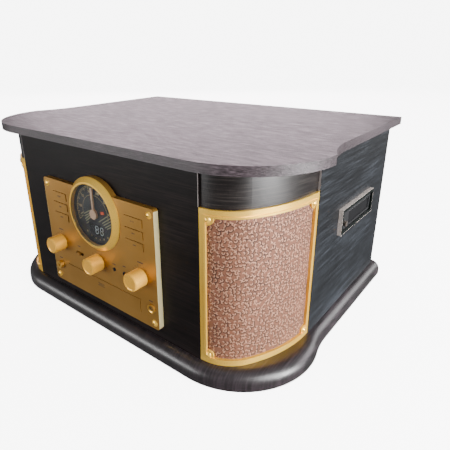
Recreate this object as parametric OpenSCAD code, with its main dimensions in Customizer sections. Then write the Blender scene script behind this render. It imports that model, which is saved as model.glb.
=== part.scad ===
/* [Lid] */
// Width of the lid across its two round front corners
lid_w = 459.7; // [445:0.1:475]
// Depth of the lid from front to back
lid_d = 327.7; // [320:0.1:340]
// Thickness of the lid board
lid_t = 9; // [6:0.5:12]
// Height of the whole set with the lid shut
total_h = 228.6; // [222:0.1:245]
// Radius of the lid's two front corners
lid_corner_r = 90; // [75:1:100]
// How far the lid stands in front of the cabinet
lid_front_lip = 12.35; // [8:0.05:16]
// How far the lid stands behind the cabinet
lid_back_lip = 7.85; // [7.2:0.05:14]

/* [Plinth] */
// Height of the plinth board above its feet
plinth_h = 19.5; // [15:0.5:26]
// Width of the plinth across its two round front corners
plinth_w = 448; // [442:0.5:458]
// How far the straight sides of lid and plinth lie inside the plinth's round corners
waist_step = 7; // [4:0.5:12]
// Radius of the plinth's two front corners
plinth_corner_r = 90; // [80:1:100]
// Radius of the hollow that leads from a corner back to the straight side
cove_r = 120; // [90:1:150]
// Radius of the rounded upper edge of the plinth
nose_r = 12; // [6:0.5:14]
// Radius of a rubber foot
foot_r = 11; // [8:0.5:15]
// Height of a rubber foot
foot_h = 2.5; // [1.5:0.5:6]
// Distance of the feet from the edges of the plinth
foot_inset = 48; // [40:1:70]

/* [Cabinet] */
// Width of the cabinet over its side panels
cab_w = 414; // [408:0.5:420]
// Width of the flat front panel between the two curved corners
front_w = 283.3; // [276:0.1:292]
// Depth of the curved corners, from the front panel back to the side panels
corner_depth = 103.5; // [96:0.5:112]
// Radius of the tighter front stretch of a curved corner
bend_r = 49; // [42:0.5:52]
// Thickness of the front, side and back panels
panel_t = 8; // [6:0.5:12]
// Thickness of the curved corner panels
corner_t = 6; // [4:0.5:9]
// Thickness of the front and back panels above the ledge that carries the deck
rim_t = 2.2; // [1.6:0.1:3]
// Thickness of the side panels above the ledge that carries the deck
side_rim_t = 4; // [3:0.5:5.5]
// Height of the deck's upper face
deck_z = 171; // [170:0.5:174]
// Thickness of the deck plate
deck_t = 3; // [2:0.5:5]
// Length of a speaker behind its baffle
speaker_h = 40; // [34:1:46]
// Radius of a speaker's magnet
magnet_r = 25; // [20:1:30]
// Length of a speaker's magnet
magnet_h = 13; // [10:0.5:16]
// Width of a speaker's flange around the opening
flange_w = 7; // [5:0.5:8]
// Thickness of the flange
rim_h = 3; // [2:0.5:4]
// Depth of the speaker baffle board
baffle_t = 6; // [4:0.5:9]
// Radius of the opening in a speaker baffle
baffle_hole_r = 37; // [30:1:40]

/* [Grilles] */
// Height of a grille frame's lower edge above the plinth
grille_lift = 0.3; // [0.3:0.1:2]
// Height of a grille frame
grille_h = 162; // [150:1:175]
// Width of a grille frame's bars
bar_w = 7.25; // [5:0.25:9]
// Thickness of a grille frame
frame_t = 2.3; // [1.6:0.1:3]
// How far a grille frame's face lies behind the panels beside it
frame_flush = 0.4; // [0.2:0.1:1]
// Width of the raised bead along a frame's inner edge
bead_w = 2; // [1:0.25:3]
// Height of that bead above the frame
bead_h = 0.9; // [0.4:0.1:1.4]
// Radius of the ear at each inside corner of a frame
ear_r = 5.5; // [4:0.5:7]
// Distance from a frame's inner edge to the middle of an ear
ear_in = 2; // [1:0.25:4]
// Thickness of the grille cloth
cloth_t = 0.8; // [0.5:0.1:1.5]

/* [Screws] */
// Radius of a grille screw's head
grille_head_r = 3.2; // [2.5:0.1:4]
// Radius of a control panel screw's head
panel_head_r = 4; // [3:0.25:5]
// Height of the screw heads
head_h = 1.9; // [1:0.1:2.5]
// Radius of the screws' shanks
shank_r = 1.4; // [1:0.1:1.8]
// Length of the screws' shanks
shank_len = 11; // [9:0.5:12]

/* [Control panel] */
// Width of the control panel
plate_w = 184.4; // [180:0.1:200]
// Height of the control panel
plate_h = 135.9; // [132:0.1:140]
// Height of its lower edge
plate_z = 36.3; // [34:0.1:38]
// Thickness of the control panel
plate_t = 6.3; // [5:0.1:8]
// Radius of its corners
plate_r = 3.5; // [1:0.5:6]
// Distance of its screws from the side edges
plate_screw_x = 6.7; // [5:0.1:7]
// Distance of its screws from the upper and lower edges
plate_screw_z = 7; // [6:0.1:8]

/* [Dial] */
// Height of the middle of the dial
dial_z = 145.5; // [144:0.1:148]
// Outer radius of the dial's ring
dial_r = 42.2; // [40:0.1:45]
// Radius of the ring's front edge
dial_front_r = 37.3; // [36.5:0.1:39]
// Radius of the opening in the ring
dial_open_r = 35; // [33:0.1:36]
// How far the ring stands out from the control panel
dial_ring_h = 5; // [4.6:0.1:8]
// Depth of the dial's seat in the control panel
dial_seat = 3; // [2:0.1:4]
// Thickness of the dial's face
dial_face_t = 1; // [0.6:0.1:1.5]
// Thickness of the dial's glass
glass_t = 0.8; // [0.5:0.1:1.2]
// Length of the needle from the middle of its hub
needle_len = 30; // [20:0.5:30.5]
// Radius of the needle's hub
hub_r = 5.6; // [3:0.1:6]
// Width of the window for the two digits
digits_w = 24; // [18:0.5:25]
// Height of the window for the two digits
digits_h = 13; // [12:0.5:14]
// How far the window's middle lies below the middle of the dial
digits_drop = 19.4; // [19:0.1:22]

/* [Knobs] */
// Radius of the three knobs
knob_r = 9.9; // [8:0.1:11]
// How far the knobs stand out from the control panel
knob_proud = 16.3; // [12:0.1:20]
// Distance of the outer knobs from the middle
knob_x = 69.3; // [66:0.1:72]
// Height of the two outer knobs
knob_z = 93.3; // [90:0.1:98]
// Height of the middle knob
tuning_z = 87.7; // [84:0.1:92]
// Radius of a knob's shaft
shaft_r = 3; // [2.5:0.1:3.5]

/* [Push buttons] */
// Width of a push button
button_w = 25.8; // [22:0.1:28]
// Height of a push button
button_h = 8.6; // [7:0.1:9.4]
// Distance from one button to the next
button_pitch = 12.9; // [12.2:0.1:14]
// Height of the middle of the top buttons
button_top_z = 153.35; // [150:0.05:155]
// Distance of the buttons' middles from the middle of the panel
button_x = 62.8; // [62:0.1:66]
// How far a button stands out from the control panel
button_proud = 0.8; // [0.4:0.1:3]
// How far a button travels
button_travel = 1.2; // [0.6:0.1:1.4]

/* [Small controls] */
// Distance of the open button from the middle of the panel
open_x = 81.7; // [80:0.1:82]
// Height of the open button and of the headphone socket
low_row_z = 59.8; // [59:0.1:62]
// Radius of the open button
open_r = 5.25; // [4:0.05:6]
// How far the open button stands out
open_proud = 1.1; // [0.9:0.1:2]
// Distance of the headphone socket from the middle of the panel
phones_x = 78; // [77:0.1:80]
// Radius of the headphone socket's barrel
phones_r = 5; // [4:0.1:5.5]
// How far that barrel stands out
phones_proud = 4.5; // [2:0.1:6]
// Radius of the bores for a small stereo plug
jack_bore_r = 1.8; // [1.78:0.01:1.85]
// Depth of the bores for a small stereo plug
jack_depth = 14; // [13:0.5:15]
// Distance of the line input socket from the middle of the panel
line_in_x = 43.2; // [40:0.1:46]
// Height of the small row: band switch, receiver window, line input
small_row_z = 87.2; // [86:0.1:89]
// Radius of the line input socket's collar
line_in_r = 2.7; // [2.4:0.1:3.2]
// Distance of the receiver window from the middle of the panel
eye_x = 26.6; // [24:0.1:30]
// Radius of the receiver window
eye_r = 2.3; // [1.8:0.1:3]
// Distance of the band switch from the middle of the panel
band_x = 36; // [34:0.1:40]
// Length of the band switch's slot
band_slot = 14; // [12:0.5:16]
// Width of the band switch's knob
band_w = 5; // [4:0.5:6]
// Height of the band switch's knob
band_h = 3; // [2:0.1:4]
// How far the band switch's knob stands out
band_proud = 2.4; // [1:0.1:4]

/* [Disc drawer] */
// Width of the drawer's front
tray_w = 130.4; // [129:0.1:132]
// Height of the drawer's front
tray_h = 16.2; // [15:0.1:17]
// Height of its lower edge
tray_z = 48.5; // [47.5:0.1:49.5]
// How far the drawer's front stands out from the control panel
tray_proud = 0.4; // [0.2:0.1:3]
// Thickness of the drawer's front
tray_front_t = 5; // [4:0.5:6]
// Length of the drawer behind its front
tray_len = 143; // [139:1:146]
// Thickness of the drawer's floor
tray_t = 4.6; // [4:0.1:5.5]
// Radius of the well that holds a disc
disc_well_r = 60.5; // [60.2:0.1:61]
// Depth of the well that holds a disc
disc_well_depth = 1.8; // [1.4:0.1:2.2]
// Radius of the disc's drive hub
disc_hub_r = 14; // [12:0.5:15]
// Thickness of the disc drive's walls
drive_t = 2; // [1.5:0.5:3]

/* [Turntable] */
// Distance of the platter's middle to the left of the cabinet's middle
spindle_x = 42; // [36:1:46]
// Radius of the platter
platter_r = 97; // [90:1:110]
// Thickness of the platter
platter_t = 9; // [7:0.5:10]
// Height of the platter's underside above the deck
platter_lift = 4; // [3.6:0.1:5]
// Radius of the drum under the platter that the belt runs round
drum_r = 62; // [56:1:70]
// Radius of the motor's pulley
pulley_r = 6; // [4:0.5:8]
// Distance of the motor from the platter's middle
motor_dist = 80; // [78:1:84]
// Thickness of the belt
belt_t = 0.8; // [0.6:0.1:1.2]
// Width of the belt
belt_w = 1.8; // [1.2:0.1:2.2]
// Thickness of the rubber mat
mat_t = 2.5; // [1.5:0.5:4]
// Radius of the pin that a record sits on
pin_r = 3.55; // [3.5:0.01:3.6]
// Height of that pin above the mat
pin_h = 9; // [7:0.5:10]
// Radius of the fixed bearing under the pin, which the platter turns on
bearing_r = 4.6; // [4.2:0.1:6]
// Radius of the motor
motor_r = 17; // [14:0.5:20]
// Length of the motor
motor_len = 24; // [18:1:30]

/* [Pickup arm] */
// Distance of the arm's pivot to the right of the cabinet's middle
arm_x = 150; // [148:1:156]
// Distance of the arm's pivot from the back of the cabinet
arm_back = 61; // [56:1:68]
// Length of the arm from its pivot to the needle
arm_len = 200; // [195:1:205]
// Height of the arm's axis above the deck
arm_lift_z = 32; // [30:0.5:34]
// Radius of the arm's tube
arm_r = 3; // [2.5:0.25:3.5]
// Radius of the arm's base
arm_base_r = 15; // [13:0.5:16]
// Radius of the yoke's vertical shaft
yoke_shaft_r = 4; // [3:0.5:5]
// How far the yoke's turntable lies below the arm's axis
yoke_drop = 10; // [9:0.5:12]
// Radius of the arm's small pivot pins
pivot_r = 1.5; // [1.2:0.1:1.8]
// Length of the cueing lever
cue_len = 28; // [22:1:34]
// Distance of the speed selector behind the front panel
speed_front = 51.5; // [45:0.5:60]
// Radius of the speed selector's knob
speed_r = 9; // [7:0.5:10]
// Height of the speed selector's knob
speed_h = 8; // [6:0.5:12]

/* [Cassette deck] */
// Distance of the cassette bezel's middle behind the cabinet's middle
cas_y = 57; // [54:0.5:60]
// Height of its middle
cas_z = 133; // [130:0.5:136]
// Width of the bezel along the side of the cabinet
cas_w = 98; // [97:0.5:102]
// Height of the bezel
cas_h = 30; // [28:0.5:33]
// How far the bezel stands out from the side
cas_proud = 4.5; // [3.6:0.1:6]
// Width of the bezel's frame
cas_rim = 3.5; // [2:0.1:3.5]
// Width of the slot that takes a cassette short end first
slot_w = 66.5; // [66:0.1:68]
// Height of that slot
slot_h = 15; // [14.5:0.1:15.5]
// Length of the space behind the slot
slot_depth = 104; // [103:0.5:106]
// Distance of the slot's middle from the bezel's middle
slot_off = 8.25; // [7.5:0.05:8.5]
// Thickness of the slot's flap
flap_t = 1.5; // [1:0.1:1.6]
// Radius of the key beside the slot
key_r = 3; // [2.5:0.1:3.2]
// Distance of the key from the front end of the bezel
key_edge = 9.5; // [9:0.5:18]
// How far the key stands out from the black plate
key_proud = 4; // [3.2:0.1:6]

/* [Back] */
// Width of the socket plate on the back
sockets_w = 92; // [88:1:100]
// Height of the socket plate on the back
sockets_h = 40; // [36:1:46]
// Distance of the socket plate's middle from the cabinet's middle
sockets_x = 110; // [100:1:120]
// Height of the socket plate's middle
sockets_z = 62; // [58:1:70]
// Thickness of the socket plate
sockets_t = 1.6; // [1:0.1:2]
// Radius of a phono socket's barrel
phono_r = 4.15; // [4.1:0.01:4.2]
// Length of a phono socket's barrel
phono_len = 6; // [5:0.1:6]
// Distance between the phono sockets
phono_pitch = 14; // [13:0.5:16]
// Width of the cabinet hinges
hinge_w = 50; // [40:1:60]
// Distance of each hinge from the cabinet's middle
hinge_x = 130; // [100:1:150]
// Radius of the hinges' knuckles
knuckle_r = 3.2; // [2.8:0.1:3.4]
// Radius of the hinge pins
hinge_pin_r = 1.5; // [1.2:0.1:1.8]
// Thickness of the hinge leaves
leaf_t = 1.5; // [1:0.1:1.6]

/* [Fits] */
// Clearance round a piece that slides or is pressed through a hole
slide_gap = 0.35; // [0.2:0.05:0.45]
// Clearance between a turning shaft and its bore
shaft_gap = 0.05; // [0.02:0.01:0.09]
// Clearance between pieces that lie in each other and don't move
seat_gap = 0.1; // [0.05:0.05:0.2]

/* [Hidden] */
$fn = 64;
eps = 0.01;
cut = 1;
// Where two smooth faces meet, one piece runs a little into the other, so they close as one solid.
seam_lap = 0.05;
lap_turn = 3;
lap_len = 6;
waist_w = plinth_w - 2 * waist_step;
plinth_top = foot_h + plinth_h;
cab_top = total_h - lid_t;
front_y = -lid_d / 2 + lid_front_lip;
back_y = lid_d / 2 - lid_back_lip;
side_x = cab_w / 2;
seam_x = front_w / 2;
corner_y = front_y + corner_depth;
face_y = front_y - plate_t;
ledge_z = deck_z - deck_t;
back_top = cab_top - leaf_t - 0.5;
// The origin is the middle of the whole box, so the cabinet lies a little behind it.
origin_y = (lid_d / 2 - lid_front_lip + plate_t + knob_proud - lid_d / 2) / 2;

// Each curved corner is two arcs that meet without a break.
corner_a = side_x - seam_x - frame_flush;
corner_b = corner_depth - frame_flush;
side_bend_r = (pow(corner_a, 2) + pow(corner_b - bend_r, 2) - pow(bend_r, 2)) / (2 * (corner_a - bend_r));
bend_c = [seam_x, corner_y - corner_b + bend_r];
side_c = [seam_x + corner_a - side_bend_r, corner_y];
bend_end = atan2(bend_c[1] - side_c[1], bend_c[0] - side_c[0]);
grille_z = plinth_top + grille_lift;

dial_face_z = dial_face_t - dial_seat;
tray_depth = tray_front_t - tray_proud;
board_gap = 5;
board_t = 1.6;
board_z = -plate_t - board_gap;
board_high = button_top_z + button_h / 2 + 0.6;
can_len = 11;
flange_t = 1;
spindle_y = (front_y + back_y) / 2;
motor_angle = 225;
mat_z = deck_z + platter_lift + platter_t;
arm_y = back_y - arm_back;
arm_z = deck_z + arm_lift_z;
hinge_y = back_y + knuckle_r + 0.8;
hinge_z = cab_top - knuckle_r - 0.5;
cue_pos = [arm_x + 20, arm_y - 25, deck_z + 9];
speed_pos = [arm_x + 18, front_y + speed_front];
plug_w = 15;
plug_h = 8.5;

// Places a piece that is drawn from the cabinet's own middle.
module place() {
    translate([0, origin_y, 0]) children();
}

// Draws its children on the right side, and mirrored on the left side where side is -1.
module on_hand(side) {
    if (side > 0) children();
    else mirror([1, 0, 0]) children();
}

// A frame on the control panel's face: x to the right, y up, z out towards the listener.
module on_face(x, z) {
    translate([x, face_y, z]) rotate([90, 0, 0]) children();
}

// A frame on the right side panel: x backwards, y up, z out of the side.
module on_side(y, z) {
    translate([side_x, y, z]) rotate([90, 0, 90]) children();
}

// A block that is centred on the first two axes and runs from z0 to z1.
module block(w, h, z0, z1) {
    translate([-w / 2, -h / 2, z0]) cube([w, h, z1 - z0]);
}

// A rod along z from z0 to z1.
module rod(r, z0, z1) {
    translate([0, 0, z0]) cylinder(r = r, h = z1 - z0);
}

// ---- Curved corner ----

// Plan of one curved corner with everything inside it, drawn in by off from the grille frame's face.
module corner_plan(off) {
    translate(bend_c) circle(r = bend_r - off);
    intersection() {
        translate(side_c) circle(r = side_bend_r - off);
        translate(side_c) polygon([[0, 0], 2 * side_bend_r * [cos(bend_end), sin(bend_end)],
            [2 * side_bend_r, 0]]);
    }
}

// A band of the curved corner, from depth off to off + t behind the grille frame's face,
// and cut short by arc lengths trim_f at the front end and trim_s at the side end.
module curved_band(off, t, z, h, trim_f, trim_s) {
    a_f = -90 + trim_f / bend_r * 180 / PI;
    a_s = -trim_s / side_bend_r * 180 / PI;
    far = 2 * side_bend_r;
    translate([0, 0, z]) linear_extrude(h) intersection() {
        difference() {
            corner_plan(off);
            corner_plan(off + t);
        }
        polygon([bend_c, bend_c + far * [cos(a_f), sin(a_f)], [far, -far],
            side_c + far * [cos(a_s), sin(a_s)], side_c + 0.8 * side_bend_r * [cos(a_s), sin(a_s)]]);
    }
}

// Puts its children at the four ears of a grille frame, with x along the face's normal.
module at_ears() {
    inset = bar_w + ear_in;
    for (z = [grille_z + inset, grille_z + grille_h - inset]) {
        translate([bend_c[0], bend_c[1], z]) rotate([0, 0, -90 + inset / bend_r * 180 / PI])
            translate([bend_r, 0, 0]) children();
        translate([side_c[0], side_c[1], z]) rotate([0, 0, -inset / side_bend_r * 180 / PI])
            translate([side_bend_r, 0, 0]) children();
    }
}

// Plan of the cabinet with its curved corners, drawn in by off.
module cabinet_plan(front, side, back, off) {
    for (s = [0, 1]) mirror([s, 0]) {
        translate([-eps, front]) square([seam_x + eps, back - front]);
        translate([-eps, corner_y]) square([side + eps, back - corner_y]);
        corner_plan(off);
    }
}

// ---- Lid and plinth ----

// Plan with round front corners that run through a hollow into a narrower waist.
module board_plan(w, r) {
    cy = -lid_d / 2 + r;
    hollow_y = hollow_end();
    difference() {
        union() {
            translate([-w / 2 + r, -lid_d / 2]) square([w - 2 * r, lid_d]);
            translate([-w / 2, cy]) square([w, lid_d / 2 - cy]);
            for (s = [-1, 1]) translate([s * (w / 2 - r), cy]) circle(r = r);
        }
        for (s = [-1, 1]) {
            translate([s * (waist_w / 2 + cove_r), hollow_y]) circle(r = cove_r);
            translate([s * (waist_w / 2 + cove_r) - cove_r, hollow_y]) square([2 * cove_r, lid_d]);
        }
    }
}

// Where the hollow of the plinth's side ends and the straight side begins.
function hollow_end() = -lid_d / 2 + plinth_corner_r + sqrt(pow(plinth_corner_r + cove_r, 2)
    - pow(waist_w / 2 + cove_r - plinth_w / 2 + plinth_corner_r, 2));

// The plinth's edge in section: flat top, quarter-round nose, upright side.
module nose_section(reach) {
    difference() {
        square([reach, plinth_h]);
        difference() {
            translate([reach - nose_r, plinth_h - nose_r]) square(nose_r + cut);
            translate([reach - nose_r, plinth_h - nose_r]) circle(r = nose_r);
        }
    }
}

// The same section for the hollow stretch, where the board lies outside the arc.
module hollow_section(reach) {
    start = cove_r - seam_lap;
    difference() {
        translate([start, 0]) square([reach, plinth_h]);
        difference() {
            translate([start - cut, plinth_h - nose_r]) square(nose_r + cut);
            translate([start + nose_r, plinth_h - nose_r]) circle(r = nose_r);
        }
    }
}

module plinth() {
    corner = [plinth_w / 2 - plinth_corner_r, -lid_d / 2 + plinth_corner_r];
    hollow = [waist_w / 2 + cove_r, hollow_end()];
    turn = atan2(hollow[1] - corner[1], hollow[0] - corner[0]);
    core = corner + (plinth_corner_r - 2 * nose_r) * [cos(turn - lap_turn), sin(turn - lap_turn)];
    color("#463A40") place() translate([0, 0, foot_h]) {
        translate([corner[0], 0, 0]) rotate([90, 0, -90])
            linear_extrude(2 * corner[0]) nose_section(lid_d / 2);
        for (s = [-1, 1]) on_hand(s) {
            translate([corner[0], corner[1], 0]) rotate([0, 0, -90])
                rotate_extrude(angle = 90 + turn + lap_turn) nose_section(plinth_corner_r);
            translate([hollow[0], hollow[1], 0]) rotate([0, 0, 180])
                rotate_extrude(angle = turn) hollow_section(3 * nose_r);
            translate([0, lid_d / 2, 0]) rotate([90, 0, 0])
                linear_extrude(lid_d / 2 - hollow[1] + lap_len) nose_section(waist_w / 2);
            linear_extrude(plinth_h) polygon([corner - [lap_len, 2 * lap_len], core,
                [waist_w / 2 - 2 * nose_r, hollow[1] + lap_len], [corner[0] - lap_len, hollow[1] + lap_len]]);
        }
    }
}

// Where the four rubber feet stand.
function foot_places() = [for (s = [-1, 1], y = [-lid_d / 2 + foot_inset, lid_d / 2 - foot_inset])
    [s * (waist_w / 2 - foot_inset), y]];

module feet() {
    color("#1C1C1C") place()
        for (p = foot_places()) translate([p[0], p[1], 0]) cylinder(r = foot_r, h = foot_h);
}

module lid() {
    color("#8F858B") place() translate([0, 0, cab_top]) linear_extrude(lid_t) board_plan(lid_w, lid_corner_r);
}

// ---- Cabinet ----

// Pilot holes for the four screws of the control panel.
module plate_screws(r, z0, z1) {
    for (s = [-1, 1], z = [plate_z + plate_screw_z, plate_z + plate_h - plate_screw_z])
        on_face(s * (plate_w / 2 - plate_screw_x), z) rod(r, z0, z1);
}

module front_panel() {
    well_x = open_x + open_r + 2;
    well_low = low_row_z - open_r - 2;
    well_high = board_high + 0.8;
    color("#2A2024") place() difference() {
        union() {
            translate([-seam_x, front_y, plinth_top]) cube([front_w, panel_t, ledge_z - plinth_top]);
            translate([-seam_x, front_y, plinth_top]) cube([front_w, rim_t, cab_top - plinth_top]);
        }
        translate([-well_x, front_y - cut, well_low]) cube([2 * well_x, panel_t + 2 * cut, well_high - well_low]);
        translate([-tray_w / 2 - 1.5, front_y - cut, tray_z - 1.5])
            cube([tray_w + 3, panel_t + 2 * cut, tray_h + 3]);
        plate_screws(shank_r + shaft_gap, -plate_t - panel_t - cut, -plate_t + cut);
    }
}

// Ends and direction of the flat speaker baffle that bridges a curved corner from the inside.
function baffle_front() = bend_c + (bend_r - frame_t - corner_t / 2) * [cos(-80), sin(-80)];
function baffle_side() = side_c + (side_bend_r - frame_t - corner_t / 2) * [cos(-4), sin(-4)];
function baffle_dir() = (baffle_side() - baffle_front()) / norm(baffle_side() - baffle_front());
function speaker_z() = grille_z + grille_h / 2;

// Puts its children at the middle of the right baffle, with z along the speaker's axis.
module at_baffle() {
    m = (baffle_front() + baffle_side()) / 2;
    d = baffle_dir();
    translate([m[0], m[1], speaker_z()]) rotate([0, 0, atan2(-d[0], d[1])]) rotate([0, 90, 0]) children();
}

// The opening behind a grille, smaller than the frame's own opening all round.
module sound_opening(off, t) {
    edge = bar_w + 9;
    curved_band(off, t, grille_z + edge, grille_h - 2 * edge, edge, edge);
}

module corner_panel(side) {
    half = baffle_t / 2;
    n = [baffle_dir()[1], -baffle_dir()[0]];
    color("#2A2024") place() on_hand(side) difference() {
        union() {
            difference() {
                curved_band(frame_t, corner_t, plinth_top, cab_top - plinth_top, 0, 0);
                sound_opening(frame_t - cut, corner_t + 2 * cut);
            }
            translate([0, 0, plinth_top]) linear_extrude(ledge_z - plinth_top - 0.5)
                polygon([baffle_front() - half * n, baffle_side() - half * n,
                    baffle_side() + half * n, baffle_front() + half * n]);
        }
        at_baffle() rod(baffle_hole_r, -baffle_t, baffle_t);
        at_ears() rotate([0, -90, 0]) rod(shank_r + shaft_gap, frame_t - cut, frame_t + corner_t + cut);
    }
}

module corner_panel_left() {
    corner_panel(-1);
}

module corner_panel_right() {
    corner_panel(1);
}

module side_wall() {
    depth = back_y - corner_y;
    translate([side_x - panel_t, corner_y, plinth_top]) cube([panel_t, depth, ledge_z - plinth_top]);
    translate([side_x - side_rim_t, corner_y, plinth_top]) cube([side_rim_t, depth, cab_top - plinth_top]);
}

module side_panel_left() {
    color("#2A2024") place() on_hand(-1) side_wall();
}

module side_panel_right() {
    color("#2A2024") place() difference() {
        side_wall();
        on_side(cas_y, cas_z) block(cas_w - 2 * cas_rim, cas_h - 2 * cas_rim, -panel_t - cut, cut);
    }
}

module back_panel() {
    vent_w = 60;
    vent_h = 3;
    vent_z = (plinth_top + ledge_z) / 2 + 15;
    inner = side_x - panel_t;
    color("#211C1E") place() difference() {
        union() {
            translate([-inner, back_y - panel_t, plinth_top]) cube([2 * inner, panel_t, ledge_z - plinth_top]);
            translate([-side_x + side_rim_t, back_y - rim_t, ledge_z])
                cube([2 * (side_x - side_rim_t), rim_t, back_top - ledge_z]);
        }
        translate([sockets_x, back_y, sockets_z]) rotate([90, 0, 0])
            block(sockets_w - 10, sockets_h - 10, -cut, panel_t + cut);
        for (i = [0:5], x = [-sockets_x, 0]) translate([x, back_y, vent_z + 3 * vent_h * i])
            rotate([90, 0, 0]) block(vent_w, vent_h, -cut, panel_t + cut);
    }
}

module hinge_leaves_cabinet() {
    end_w = hinge_w / 4;
    color("#B8B4AC") place() for (s = [-1, 1]) translate([s * hinge_x, hinge_y, hinge_z]) {
        translate([-hinge_w / 2, back_y - hinge_y, -24]) cube([hinge_w, leaf_t, 22]);
        for (e = [-1, 1]) translate([e * (hinge_w - end_w) / 2 - end_w / 2, 0, 0]) {
            rotate([0, 90, 0]) rod(knuckle_r, 0, end_w);
            translate([0, back_y - hinge_y, -3]) cube([end_w, leaf_t, 3]);
            translate([0, back_y - hinge_y, -1]) cube([end_w, hinge_y - back_y, 1]);
        }
        rotate([0, 90, 0]) rod(hinge_pin_r, -hinge_w / 2, hinge_w / 2);
    }
}

module hinge_leaves_lid() {
    mid_w = hinge_w / 2 - 0.6;
    color("#B8B4AC") place() for (s = [-1, 1]) translate([s * hinge_x, hinge_y, 0]) difference() {
        union() {
            translate([-mid_w / 2, 0, hinge_z]) rotate([0, 90, 0]) rod(knuckle_r, 0, mid_w);
            translate([-mid_w / 2, 0, hinge_z]) cube([mid_w, 0.8, cab_top - hinge_z]);
            translate([-mid_w / 2, -28, cab_top - leaf_t]) cube([mid_w, 28.8, leaf_t]);
        }
        translate([-hinge_w / 2, 0, hinge_z]) rotate([0, 90, 0]) rod(hinge_pin_r + shaft_gap, 0, hinge_w);
    }
}

// ---- Grilles and speakers ----

module grille_frame(side) {
    rim = bar_w - bead_w;
    color("#D8A63E") place() on_hand(side) difference() {
        union() {
            curved_band(0, frame_t, grille_z, grille_h, 0, 0);
            curved_band(-bead_h, frame_t, grille_z + rim, grille_h - 2 * rim, rim, rim);
        }
        difference() {
            curved_band(-bead_h - cut, frame_t + bead_h + 2 * cut, grille_z + bar_w,
                grille_h - 2 * bar_w, bar_w, bar_w);
            at_ears() rotate([0, -90, 0]) rod(ear_r, 0, frame_t + 0.5);
        }
        at_ears() rotate([0, -90, 0]) rod(shank_r + shaft_gap, -bead_h - cut, frame_t + cut);
    }
}

module grille_frame_left() {
    grille_frame(-1);
}

module grille_frame_right() {
    grille_frame(1);
}

module grille_cloth(side) {
    edge = bar_w + seat_gap;
    color("#A87C6C") place() on_hand(side) difference() {
        curved_band(frame_t - cloth_t, cloth_t, grille_z + edge, grille_h - 2 * edge, edge, edge);
        at_ears() rotate([0, -90, 0]) rod(ear_r + seat_gap, -cut, frame_t + cut);
    }
}

module grille_cloth_left() {
    grille_cloth(-1);
}

module grille_cloth_right() {
    grille_cloth(1);
}

// A domed screw whose head rests on z = 0.
module screw(head_r, reach) {
    dome_r = (pow(head_r, 2) + pow(head_h, 2)) / (2 * head_h);
    intersection() {
        translate([0, 0, head_h - dome_r]) sphere(r = dome_r);
        rod(head_r, 0, head_h + cut);
    }
    rod(shank_r, -reach, 0.1);
}

module screws() {
    color("#E0B450") place() {
        for (s = [-1, 1]) on_hand(s) at_ears() rotate([0, 90, 0]) screw(grille_head_r, frame_t + corner_t - 1);
        for (s = [-1, 1], z = [plate_z + plate_screw_z, plate_z + plate_h - plate_screw_z])
            on_face(s * (plate_w / 2 - plate_screw_x), z) screw(panel_head_r, shank_len);
    }
}

// A loudspeaker that is held against the inner face of its baffle.
module speaker(side) {
    flange_r = baffle_hole_r + flange_w;
    back = -baffle_t / 2;
    basket_h = speaker_h - magnet_h;
    color("#26262A") place() on_hand(side) at_baffle() translate([0, 0, back]) rotate_extrude() polygon([
        [0, -speaker_h], [magnet_r, -speaker_h], [magnet_r, -basket_h], [magnet_r * 0.76, -basket_h],
        [magnet_r * 0.76, -basket_h * 0.85], [baffle_hole_r - 1, -basket_h * 0.3],
        [baffle_hole_r + 1, -rim_h], [flange_r, -rim_h], [flange_r, 0], [baffle_hole_r - 1, 0],
        [baffle_hole_r - 3, -rim_h * 0.65], [magnet_r * 0.48, -basket_h * 0.63],
        [magnet_r * 0.32, -basket_h * 0.52], [0, -basket_h * 0.45]]);
}

module speaker_left() {
    speaker(-1);
}

module speaker_right() {
    speaker(1);
}

// ---- Control panel ----

// Puts its children at the six push buttons.
module at_buttons() {
    for (s = [-1, 1], i = [0:2]) on_face(s * button_x, button_top_z - i * button_pitch) children();
}

// Places of the four posts between the control panel and the board behind it.
function post_places() = [for (s = [-1, 1], z = [low_row_z + 14, button_top_z])
    [s * (plate_w / 2 - 9), z]];

// Places of the three knobs: source, tuning, volume.
function knob_places() = [[-knob_x, knob_z], [0, tuning_z], [knob_x, knob_z]];

// Outline of the control panel with its rounded corners.
module plate_plan() {
    x = plate_w / 2 - plate_r;
    y = plate_h / 2 - plate_r;
    square([2 * x, plate_h], center = true);
    square([plate_w, 2 * y], center = true);
    for (sx = [-1, 1], sy = [-1, 1]) translate([sx * x, sy * y]) circle(r = plate_r);
}

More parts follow.
